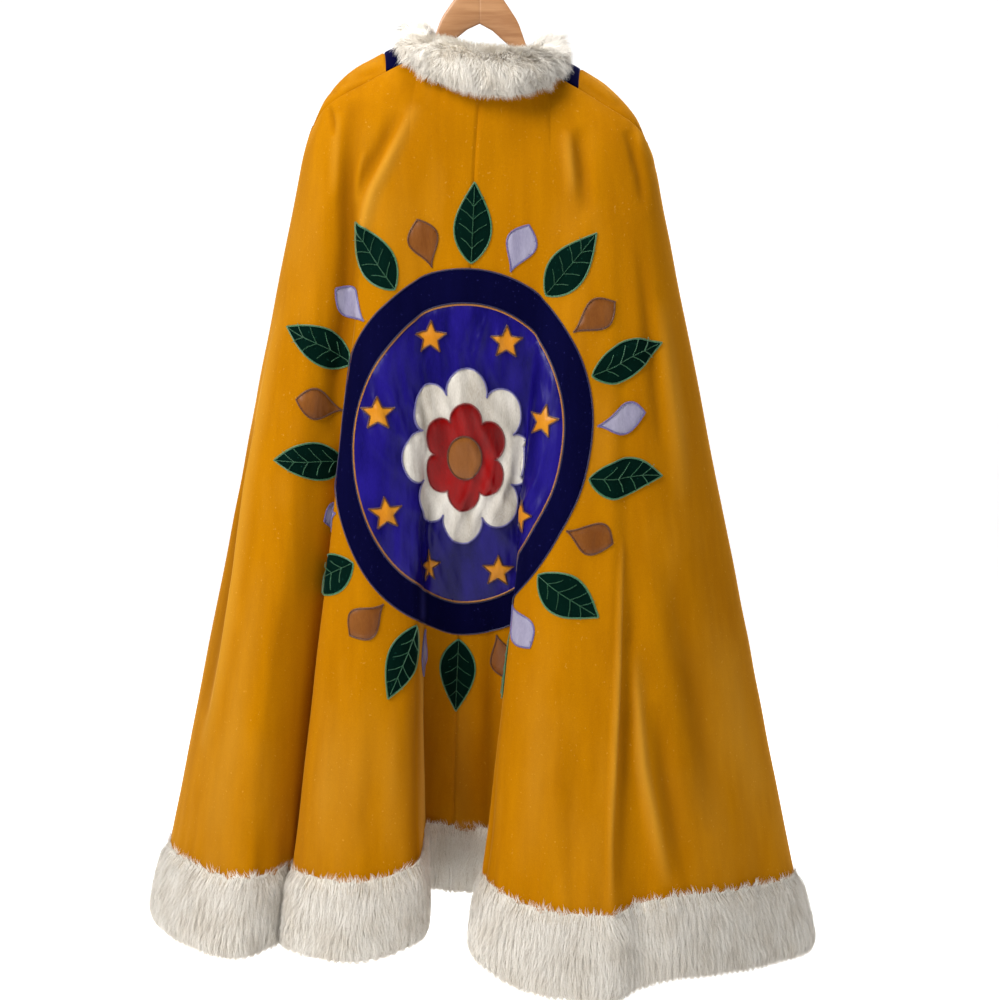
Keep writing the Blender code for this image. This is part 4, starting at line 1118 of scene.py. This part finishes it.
def patch(cloth, name, outlines, layer, finish, puff):
    """A sewn-on shape: its edge held down by the stitches, its middle a little raised."""
    loops = [divided(outline, PATCH_EDGE_STEP) for outline in outlines]
    points = np.vstack(loops)
    edges = []
    first = 0
    for loop in loops:
        edges += [(first + k, first + (k + 1) % len(loop)) for k in range(len(loop))]
        first += len(loop)
    low, high = points.min(0), points.max(0)
    across = np.arange(low[0], high[0], PATCH_STEP)
    down = np.arange(low[1], high[1], PATCH_STEP)
    lattice = np.stack(np.meshgrid(across, down), axis=-1)
    lattice[1::2, :, 0] += PATCH_STEP / 2
    lattice = lattice.reshape(-1, 2)
    lattice = lattice[inside(lattice, loops)]
    if len(lattice):
        lattice = lattice[edge_distance(lattice, loops) > PATCH_MARGIN]
    corners = [Vector(point) for point in np.vstack([points, lattice])]
    found = delaunay_2d_cdt(corners, edges, [], 0, SAME_POINT)
    places = np.array([tuple(point) for point in found[0]])
    triangles = np.array([face for face in found[2] if len(face) == 3])
    triangles = triangles[inside(places[triangles].mean(axis=1), loops)]
    depth = edge_distance(places, loops)
    height = PATCH_LIFT + LAYER_STEP * layer + puff * (1 - np.exp(-depth / PUFF_REACH))
    raised = cloth.lifted(places, height)
    return mesh_object(name + "_patch", raised, [triangles[:, ::-1]], finish, [name])


class Stitches:
    """Short threads across an edge or along a vein, gathered by colour."""

    def __init__(self, cloth):
        self.cloth = cloth
        self.places = {}
        self.heights = {}

    def run(self, colour, line, layer, closed, pitch, reach, slant):
        """Stitches along a line."""
        points, along = resampled(line, pitch, closed)
        across = np.column_stack([along[:, 1], -along[:, 0]])
        base = LAYER_STEP * layer
        for share, height in STITCH_SECTION:
            middle = points + across * reach * share + along * slant * share
            for side in (-1, 1):
                self.places.setdefault(colour, []).append(middle + along * STITCH_HALF_WIDTH * side)
                self.heights.setdefault(colour, []).append(np.full(len(points), base + height))

    def pieces(self, finishes):
        """One piece for each colour."""
        made = []
        for colour, groups in self.places.items():
            places = []
            heights = []
            each = 2 * len(STITCH_SECTION)
            for k in range(0, len(groups), each):
                places.append(np.stack(groups[k:k + each], axis=1).reshape(-1, 2))
                heights.append(np.stack(self.heights[colour][k:k + each], axis=1).ravel())
            points = self.cloth.lifted(np.vstack(places), np.concatenate(heights))
            first = np.arange(len(points) // each)[:, None] * each
            faces = np.vstack([first + np.array([[0, 1, 3, 2]]), first + np.array([[2, 3, 5, 4]])])
            made.append(mesh_object("stitches_" + colour, points, [faces], finishes[colour]))
        return made


# Fur

def strand_piece(name, random, lines, sides, ways, finish):
    """Tapered strands along lines of points as one joined piece, turned about their roots at random."""
    lines = np.stack(lines, axis=1)
    count, levels = lines.shape[:2]
    turn = random.uniform(-STRAND_TURN, STRAND_TURN, count)[:, None]
    sides = sides * np.cos(turn) + ways * np.sin(turn)
    normals = unit(ways + random.normal(0, SHADING_SPREAD, (count, 3)) + SHADING_RISE * UP)
    facing = np.sum(np.cross(sides, lines[:, -1] - lines[:, 0]) * normals, axis=1, keepdims=True)
    sides = sides * np.where(facing < 0, -1.0, 1.0)
    widths = STRAND_WIDTH / 2 * np.linspace(1.0, STRAND_TAPER, levels - 1)
    pairs = []
    for level in range(levels - 1):
        pairs += [lines[:, level] - sides * widths[level], lines[:, level] + sides * widths[level]]
    points = np.stack(pairs + [lines[:, -1]], axis=1)
    each = points.shape[1]
    first = np.arange(count)[:, None] * each
    quad = np.array([[0, 1, 3, 2]])
    quads = np.vstack([first + 2 * k + quad for k in range(levels - 2)])
    tips = first + np.array([[each - 3, each - 2, each - 1]])
    shading = np.repeat(normals[:, None, :], each, axis=1)
    return mesh_object(name + "_strands", points, [quads, tips], finish, normals=shading)


class FurSurface:
    """A grid that fur grows on, looked up by column and row with fractions."""

    def __init__(self, points, normals):
        self.points = points
        self.normals = normals
        self.along = unit(bisected(points, 1))

    def at(self, columns, rows):
        """Points, normals and ways along the columns; rows past either end go straight on."""
        c = np.clip(columns, 0, self.points.shape[1] - 1.001)
        r = np.clip(rows, 0, self.points.shape[0] - 1.001)
        i, j = c.astype(int), r.astype(int)
        s, t = (c - i)[:, None], (r - j)[:, None]
        grids = (self.points, self.normals, self.along)
        points, normals, along = [looked_up(grid, j, i, t, s) for grid in grids]
        past = np.clip(rows - (self.points.shape[0] - 1), 0, None)[:, None]
        points += past * (self.points[-1, i] - self.points[-2, i])
        points += np.clip(rows, None, 0)[:, None] * (self.points[1, i] - self.points[0, i])
        return points, unit(normals), unit(along)


def drift(x, y, seed):
    """A slow wander between minus one and one."""
    return (np.sin(x * 31 + seed) * np.cos(y * 23 + 2 * seed) + np.sin(x * 67 + y * 41 + 3 * seed)) / 2


def hem_fur(name, first, last, finishes, seed):
    """A stretch of the hem's fur: a soft skin and long strands that hang down."""
    random = np.random.default_rng(seed)
    start, end = place_of(first), place_of(last)
    places = np.linspace(start, end, int((end - start) / FUR_COLUMN))
    heights = np.linspace(0.0, 1.0, FUR_ROWS)
    drops = BORDER_DROP + FUR_LAP + (1 - BORDER_DROP - FUR_LAP) * heights
    grid = tilted(np.array([section(drop, places) for drop in drops]))
    normals = outward(grid)
    normals[..., 2] = 0.0
    normals = unit(normals)
    share = smooth_curve(FOLD_PLACES, FOLD_PILE[:, None], places)[:, 0]
    stand_table = np.array(BORDER)
    stand = np.interp(heights, stand_table[:, 0], stand_table[:, 1])[:, None] * PILE * share[None, :]
    skin = grid + normals * SKIN_SHARE * stand[..., None]
    inner = grid - normals * FUR_BACKING * BACKING_SHARE
    base = mesh_object(name + "_skin", np.vstack([skin.reshape(-1, 3), inner.reshape(-1, 3)]),
                       [wall_faces(*grid.shape[:2])], finishes["fur_root"], [name])
    surface = FurSurface(grid, normals)
    count = STRANDS[name]
    column = random.uniform(0, len(places) - 1, count)
    step = (end - start) / (len(places) - 1)
    across = start + column * step
    root = random.uniform(*HEM_ROOTS, count) + HEM_UNEVENNESS * drift(across * 2.3, across * 0.7, seed + 1)
    length = STRAND_LENGTH * random.uniform(*HEM_LENGTHS, count)
    swirl = HEM_SWIRL * drift(across, root * FUR_DEPTH, seed) + random.normal(0, HEM_SPREAD, count)
    pile = np.interp(column, np.arange(len(places)), share) * PILE
    tip_across = length * np.sin(swirl)
    overhang = FUR_OVERHANG * random.uniform(*HEM_OVERHANGS, count)
    tip_down = np.minimum(length * np.cos(swirl), (1 - root) * FUR_DEPTH + overhang)
    upward = (root < UPWARD_ROOTS) & (random.uniform(0, 1, count) < UPWARD_SHARE)
    tip_down = np.where(upward, -random.uniform(*UPWARD_REACH, count), tip_down)
    cell = np.floor((across + tip_across) / CLUMP) + 0.5
    centre = cell * CLUMP + 0.3 * CLUMP * np.sin(cell * 12.9 + np.floor(root * 4) * 7.3)
    tip_across += CLUMP_SHARE * (centre - across - tip_across)
    tip_stand = random.uniform(*TIP_STAND, count)
    lines = []
    for u, lift in HEM_STRAND:
        height = root + tip_down * u ** HEM_FALL / FUR_DEPTH
        profile = np.interp(np.clip(height, 0, 1), stand_table[:, 0], stand_table[:, 1])
        profile = np.maximum(profile, LEAST_STAND) * (1 - 0.5 * np.clip((height - 0.97) / 0.1, 0, 1))
        columns = column + tip_across * u ** HEM_CURL / step
        points, ways, sides = surface.at(columns, height * (len(heights) - 1))
        off = pile * profile * (ROOT_STAND + (tip_stand - ROOT_STAND) * lift)
        lines.append(points + ways * off[:, None])
    points, ways, sides = surface.at(column, root * (len(heights) - 1))
    strands = strand_piece(name, random, lines, sides, ways, finishes["fur"])
    return [base, strands]


def collar_rings(tree, stations, around):
    """The collar's section along the neck, smooth, with its fall lying on the velvet."""
    line = neck_line(stations)
    seam = line[:, 1:4]
    fall = np.radians(line[:, 4])[:, None]
    away = unit(np.cross(np.gradient(seam, axis=0), UP))
    ups = UP * np.sin(fall) - away * np.cos(fall)
    outs = UP * np.cos(fall) + away * np.sin(fall)
    corners = np.array(COLLAR_SECTION)
    closed = np.vstack([corners[-2:], corners, corners[:3]])
    steps = lengths_along(closed)
    places = np.linspace(steps[2], steps[2 + len(corners)], around, endpoint=False)
    shape = smooth_curve(steps, closed, places, free=True)
    outer_count = int(np.sum(places <= steps[2 + COLLAR_OUTER]))
    rings = np.empty((stations, around, 3))
    for m, (origin, up, out, (stand, loft, ride, drop)) in enumerate(zip(seam, ups, outs, line[:, 5:])):
        for k, (u, o) in enumerate(shape):
            u = u * (stand if u > 0 else drop)
            o = o * stand if o < 0 else o * (loft if o > COLLAR_SKIN else 1.0)
            high = origin + up * (COLLAR_LIFT + ride + u) + out * o
            blend = min(max((COLLAR_BEND - u) / (2 * COLLAR_BEND), 0.0), 1.0)
            if blend > 0:
                look = Vector(tilted(origin + up * min(u, 0.0) + out * COLLAR_REACH))
                found = tree.ray_cast(look, Vector(-out), 2 * COLLAR_REACH)
                lying = COLLAR_REACH - found[3] if found[3] is not None else 0.0
                low = origin + up * u + out * (o + ride + max(lying, -COLLAR_SINK))
                high = high * (1 - blend) + low * blend
            rings[m, k] = high
    return tilted(rings), ups, outs, outer_count


def collar_fur(tree, finishes, seed):
    """The collar: a folded fur strip with strands that part at its roll and hang down both sides."""
    random = np.random.default_rng(seed)
    stations, around = COLLAR_STATIONS, COLLAR_AROUND
    rings, ups, outs, outer_count = collar_rings(tree, stations, around)
    wrapped = np.concatenate([rings, rings[:, :1]], axis=1)
    normals = unit(np.cross(bisected(wrapped, 1), bisected(wrapped, 0)))[:, :around]
    centres = rings.mean(axis=1, keepdims=True)
    if np.mean(np.sum((rings - centres) * normals, axis=2)) < 0:
        normals = -normals
    bends = (0, INSET_BEND * outer_count, outer_count - 1)
    outer = np.interp(np.arange(outer_count), bends, OUTER_INSET)
    under = np.interp(np.arange(around - outer_count), (0, UNDER_EASE), (OUTER_INSET[-1], UNDER_INSET))
    inset = np.concatenate([outer, under])[None, :, None]
    skin = rings - normals * inset
    number = np.arange(stations * around).reshape(stations, around)
    after = np.roll(number, -1, axis=1)
    quads = np.stack([number[:-1], after[:-1], after[1:], number[1:]], axis=-1).reshape(-1, 4)
    ends = np.array([number[0, ::-1], number[-1]])
    base = mesh_object("collar_skin", skin, [quads, ends], finishes["fur_root"], ["collar"])
    surface = FurSurface(*[grid[:, :outer_count].transpose(1, 0, 2) for grid in (skin, normals)])
    count = STRANDS["collar"]
    column = random.uniform(0, stations - 1.001, count)
    row = random.uniform(0, outer_count - 1.001, count)
    points, ways, sides = surface.at(column, row)
    index = column.astype(int)
    down = -ups[index]
    over = np.sum(ways * ups[index], axis=1, keepdims=True)
    parting = np.sign(np.sum(ways * outs[index], axis=1, keepdims=True) + COLLAR_PARTING)
    spread = np.clip(over, 0, 1) * outs[index] * parting
    hang = np.clip(-over / COLLAR_FREE, 0, 1)
    lying = down - ways * np.sum(down * ways, axis=1, keepdims=True)
    free = unit(outs[index] * (1 - UP)) * FREE_SPREAD - UP
    down = unit(lying * (1 - hang) + free * hang + CROWN_SPREAD * spread)
    arc = np.linalg.norm(np.diff(rings[:, :outer_count], axis=1), axis=2).mean(axis=0)
    left = np.interp(row, np.arange(outer_count), np.concatenate([np.cumsum(arc[::-1])[::-1], [0.0]]))
    length = COLLAR_STRAND_LENGTH * random.uniform(*COLLAR_LENGTHS, count)
    length = np.minimum(length, left + COLLAR_OVERHANG * random.uniform(*COLLAR_OVERHANGS, count))[:, None]
    swirl = COLLAR_SWIRL * drift(points[:, 0] * 2.6, points[:, 2] * 2.9 + points[:, 1], seed)
    swirl += random.normal(0, COLLAR_SPREAD, count)
    down = down * np.cos(swirl)[:, None] + sides * np.sin(swirl)[:, None]
    cell = np.floor(points / CLUMP)
    clump = COLLAR_CLUMP * np.sin(cell * np.array([12.9, 78.2, 37.7]) + np.roll(cell, 1, axis=1) * 4.1)
    crown = np.clip(over, 0, 1) ** CROWN_POWER
    length = length * (1 - CROWN_SHORTER * crown)
    rise = random.uniform(*COLLAR_RISE, count)[:, None] * (1 - crown) + CROWN_RISE * crown
    lie = COLLAR_LIE * (1 - crown) + CROWN_LIE * crown
    lines = []
    for u, lift in COLLAR_STRAND:
        risen = ways * length * rise * lift
        lines.append(points + risen + down * length * lie * u ** COLLAR_FALL + clump * u)
    strands = strand_piece("collar", random, lines, sides, ways, finishes["fur"])
    return [base, strands]


# Hanger

def hanger(finish):
    """The wooden hanger with smooth curves and rounded edges."""
    rows = [(-x, left, left - height) for x, left, right, height in HANGER[:0:-1]]
    rows += [(x, right, right - height) for x, left, right, height in HANGER]
    rows = np.array(rows)
    even = np.linspace(rows[0, 0], rows[-1, 0], HANGER_STATIONS)
    xs = np.unique(np.concatenate([even, (-HANGER_GROOVE, 0.0, HANGER_GROOVE)]))
    edges = np.column_stack([np.interp(xs, rows[:, 0], rows[:, axis]) for axis in (1, 2)])
    for _ in range(HANGER_SMOOTHING):
        edges[1:-1] = np.where(np.abs(xs[1:-1, None]) < HANGER_NECK, edges[1:-1],
                               (edges[:-2] + 2 * edges[1:-1] + edges[2:]) / 4)
    half = HANGER_THICKNESS / 2 - HANGER_SHAVING
    rings = []
    for x, (top, bottom) in zip(xs, edges):
        end = min(x - xs[0], xs[-1] - x)
        round_end = math.sqrt(1 - max(0.0, 1 - end / HANGER_END) ** 2)
        middle = (top + bottom) / 2
        tall = (top - bottom) / 2 * max(round_end, END_TALL) - HANGER_SHAVING
        wide = half * max(round_end, END_WIDE)
        ring = []
        for turn in np.linspace(0, 2 * math.pi, HANGER_AROUND, endpoint=False):
            c, s = math.cos(turn), math.sin(turn)
            z = math.copysign(abs(s) ** HANGER_SQUARE_UP, s)
            chamfer = 1 - CHAMFER_SHARE * max(0.0, -z - CHAMFER_START) / (1 - CHAMFER_START)
            groove = GROOVE_DEPTH if x == 0.0 else 1.0
            y = math.copysign(abs(c) ** HANGER_SQUARE_ACROSS, c) * wide * chamfer * groove
            ring.append((x, y, middle + z * tall))
        rings.append(ring)
    return tube_piece("hanger_wood", np.array(rings), finish, ["hanger_body"])


def tube_piece(name, rings, finish, replaced):
    """A closed tube through rings of points."""
    count, around = rings.shape[:2]
    number = np.arange(count * around).reshape(count, around)
    after = np.roll(number, -1, axis=1)
    quads = np.stack([number[:-1], number[1:], after[1:], after[:-1]], axis=-1).reshape(-1, 4)
    ends = np.array([number[0], number[-1, ::-1]])
    return mesh_object(name, rings, [quads, ends], finish, replaced)


def hook(finish):
    """The wire hook, with a rounded end."""
    route = [(x, 0.0, z) for x, z in HOOK_ROUTE]
    for angle in range(*HOOK_ANGLES):
        turn = math.radians(angle)
        rise = HOOK_WIRE - HOOK_RADIUS + HOOK_RADIUS * math.sin(turn)
        route.append((HOOK_RADIUS * math.cos(turn), 0.0, rise))
    points = np.array(route)
    steps = lengths_along(points)
    fine = smooth_curve(steps, points, np.linspace(0, steps[-1], HOOK_STATIONS), free=True)
    ways = unit(bisected(fine, 0))
    back_to_front = np.array([0.0, 1.0, 0.0])
    across = np.cross(ways, back_to_front)
    rings = []
    for k, (point, side) in enumerate(zip(fine, across)):
        left = len(fine) - 1 - k
        radius = HOOK_WIRE * HOOK_SHAVING * (1.0 if left >= len(HOOK_TIP) else HOOK_TIP[left])
        turns = np.linspace(0, 2 * math.pi, HOOK_AROUND, endpoint=False)
        rings.append([point + radius * (side * math.cos(t) + back_to_front * math.sin(t)) for t in turns])
    return tube_piece("hanger_wire", np.array(rings), finish, ["hanger_hook"])


# Studio

def studio():
    """The camera, the lights and a plain pale floor that rises far behind."""
    data = bpy.data.cameras.new("camera")
    data.sensor_width = SENSOR
    aim = Vector(CAMERA_AIM) - Vector(CAMERA_PLACE)
    data.lens = SENSOR * aim.length / FRAME_WIDTH
    camera = bpy.data.objects.new("camera", data)
    camera.location = CAMERA_PLACE
    camera.rotation_euler = aim.to_track_quat("-Z", "Y").to_euler()
    bpy.context.scene.collection.objects.link(camera)
    bpy.context.scene.camera = camera
    for name, place, target, size, power, colour in LIGHTS:
        lamp = bpy.data.lights.new(name, "AREA")
        lamp.size = size
        lamp.energy = power
        lamp.color = colour
        light = bpy.data.objects.new(name, lamp)
        light.location = place
        light.rotation_euler = (Vector(target) - Vector(place)).to_track_quat("-Z", "Y").to_euler()
        bpy.context.scene.collection.objects.link(light)
    world = bpy.data.worlds.new("studio")
    world.use_nodes = True
    world.node_tree.nodes["Background"].inputs["Color"].default_value = (1.0, 1.0, 1.0, 1.0)
    world.node_tree.nodes["Background"].inputs["Strength"].default_value = WORLD_LIGHT
    bpy.context.scene.world = world
    bpy.context.scene.view_settings.view_transform = "Standard"
    profile = [(-FLOOR_REACH, 0.0), (FLOOR_BACK, 0.0)]
    for turn in np.linspace(0.1, math.pi / 2, 12):
        profile.append((FLOOR_BACK + FLOOR_BEND * math.sin(turn), FLOOR_BEND - FLOOR_BEND * math.cos(turn)))
    profile.append((FLOOR_BACK + FLOOR_BEND, FLOOR_TOP))
    rows = np.array([[(x, y, FLOOR_Z + z) for x in (-FLOOR_REACH, FLOOR_REACH)] for y, z in profile])
    mesh = bpy.data.meshes.new("floor")
    mesh.from_pydata(rows.reshape(-1, 3).tolist(), [], grid_faces(*rows.shape[:2]).tolist())
    mesh.polygons.foreach_set("use_smooth", np.full(len(mesh.polygons), True))
    finish = Finish("floor", 0.9)
    finish.paint(finish.ramp(finish.noise(1.3, 2.0), FLOOR_WHITE))
    finish.value("Emission Color", (1.0, 1.0, 1.0, 1.0))
    finish.value("Emission Strength", FLOOR_GLOW)
    mesh.materials.append(finish.made)
    floor = bpy.data.objects.new("floor", mesh)
    bpy.context.scene.collection.objects.link(floor)


# The cape

def mirrored_creases():
    """The right front's creases."""
    return tuple((width, height, tuple((-x, z - FRONT_CREASE_SHIFT) for x, z in route))
                 for width, height, route in FRONT_CREASES)


studio()

FINISHES = {
    "gold_velvet": velvet("gold_velvet", GOLD, 0.45, (255, 196, 92), GOLD_SHADE_AND_SHEEN),
    "navy_velvet": velvet("navy_velvet", NAVY, 0.5, (70, 70, 150)),
    "green_velvet": velvet("green_velvet", GREEN, 0.4, (60, 130, 110)),
    "purple_satin": satin("purple_satin", PURPLE, 0.30, 0.17),
    "white_satin": satin("white_satin", WHITE, 0.24, 0.5),
    "red_satin": satin("red_satin", RED, 0.30, 0.20),
    "gold_satin": satin("gold_satin", YELLOW, 0.4),
    "bronze_satin": satin("bronze_satin", BRONZE, 0.36),
    "lilac_satin": satin("lilac_satin", LILAC, 0.32),
    "fur": fur("white_fur", FUR),
    "fur_root": fur("white_fur_root", FUR_ROOT),
    "wood": wood("wood"),
    "steel": steel("steel"),
}
THREADS = {
    "navy": thread("navy_thread", ((8, 8, 44), (24, 24, 80))),
    "gold": thread("gold_thread", ((150, 92, 18), (196, 130, 44))),
    "white": thread("white_thread", ((190, 186, 178), (226, 222, 214))),
    "red": thread("red_thread", ((96, 8, 12), (136, 18, 20))),
    "brown": thread("brown_thread", ((58, 28, 14), (96, 52, 26))),
    "green": thread("green_thread", ((30, 84, 56), (78, 140, 98))),
    "violet": thread("violet_thread", ((74, 70, 132), (112, 108, 166))),
}

back = Cloth("back", ["side_left", "centre_back", "side_right"], BACK_COLUMN, [(PLACED_CREASES, -1)],
             PICKED_CREASES)
front_left = Cloth("front", ["front_edge_left", "band_seam_left", "side_left"], FRONT_COLUMN,
                   [(FRONT_CREASES, 1), (SHOULDER_CREASES, -1)])
front_right = Cloth("front", ["side_right", "band_seam_right", "front_edge_right"], FRONT_COLUMN,
                    [(mirrored_creases(), 1), (SHOULDER_CREASES, -1)])

# Velvet panels: how they are made, from which cloth, between which seams, of what
PANELS = {
    "back_left": (sheet_piece, back, "side_left", "centre_back", "gold_velvet"),
    "back_right": (sheet_piece, back, "centre_back", "side_right", "gold_velvet"),
    "front_left": (sheet_piece, front_left, "band_seam_left", "side_left", "gold_velvet"),
    "front_right": (sheet_piece, front_right, "side_right", "band_seam_right", "gold_velvet"),
    "front_band_left": (band_piece, front_left, "front_edge_left", "band_seam_left", "navy_velvet"),
    "front_band_right": (band_piece, front_right, "band_seam_right", "front_edge_right", "navy_velvet"),
}
for name, (make, cloth, first, last, slot) in PANELS.items():
    make(name, cloth, first, last, FINISHES[slot], slot)

flat_back = BackCloth(back)
stitches = Stitches(flat_back)


def sew(name, outlines, layer, slot, colour, puff):
    """One applique shape with the stitches round its edges."""
    patch(flat_back, name, outlines, layer, FINISHES[slot], puff)
    for outline in outlines:
        stitches.run(colour, outline, layer, True, **EDGE_STITCH)


sew("medallion_field", [ellipse(FIELD_RADIUS - RING_ROOM)], 0, "purple_satin", "gold", 0.0010)
ring = [ellipse(FIELD_RADIUS + RING_WIDTH), ellipse(FIELD_RADIUS + RING_ROOM)]
sew("medallion_ring", ring, 0, "navy_velvet", "navy", 0.0012)
sew("rosette", [flower(ROSETTE_RADIUS, ROSETTE_PETALS, ROSETTE_LOBES)], 1, "white_satin", "violet", 0.0014)
sew("rosette_heart", [flower(HEART_RADIUS, HEART_PETALS, HEART_LOBES)], 2, "red_satin", "red", 0.0014)
sew("rosette_button", [ellipse(BUTTON_RADIUS)], 3, "bronze_satin", "brown", 0.0018)
for k in range(STAR_COUNT):
    sew(f"star_{k + 1}", [star(2 * math.pi * (k + 0.5) / STAR_COUNT)], 1, "gold_satin", "brown", 0.0016)
for k in range(LEAF_COUNT):
    turn = 2 * math.pi * k / LEAF_COUNT
    leaf = spray(turn, LEAF_LENGTH, LEAF_HALF_WIDTH, LEAF_FULLNESS)
    sew(f"leaf_{k + 1}", [leaf], 0, "green_velvet", "green", 0.0014)
    for line in veins(turn, LEAF_LENGTH, LEAF_HALF_WIDTH):
        stitches.run("green", line, 1, False, **VEIN_STITCH)
    turn += math.pi / LEAF_COUNT
    bud = spray(turn, BUD_LENGTH, BUD_HALF_WIDTH, BUD_FULLNESS)
    if k % 2:
        sew(f"bud_{k + 1}", [bud], 0, "bronze_satin", "brown", 0.0016)
    else:
        sew(f"bud_{k + 1}", [bud], 0, "lilac_satin", "violet", 0.0016)
sewing = stitches.pieces(THREADS)

# Fur along the hem, from seam to seam, with the seed of its random draws
HEM_FURS = (
    ("hem_fur_front_left", "front_edge_left", "side_left", 1),
    ("hem_fur_back_left", "side_left", "centre_back", 2),
    ("hem_fur_back_right", "centre_back", "side_right", 3),
    ("hem_fur_front_right", "side_right", "front_edge_right", 4),
)
furs = {name: hem_fur(name, first, last, FINISHES, seed) for name, first, last, seed in HEM_FURS}
velvet_tree = grid_tree([front_left.points, back.points, front_right.points])
furs["collar"] = collar_fur(velvet_tree, FINISHES, 5)
hanger(FINISHES["wood"])
hook(FINISHES["steel"])
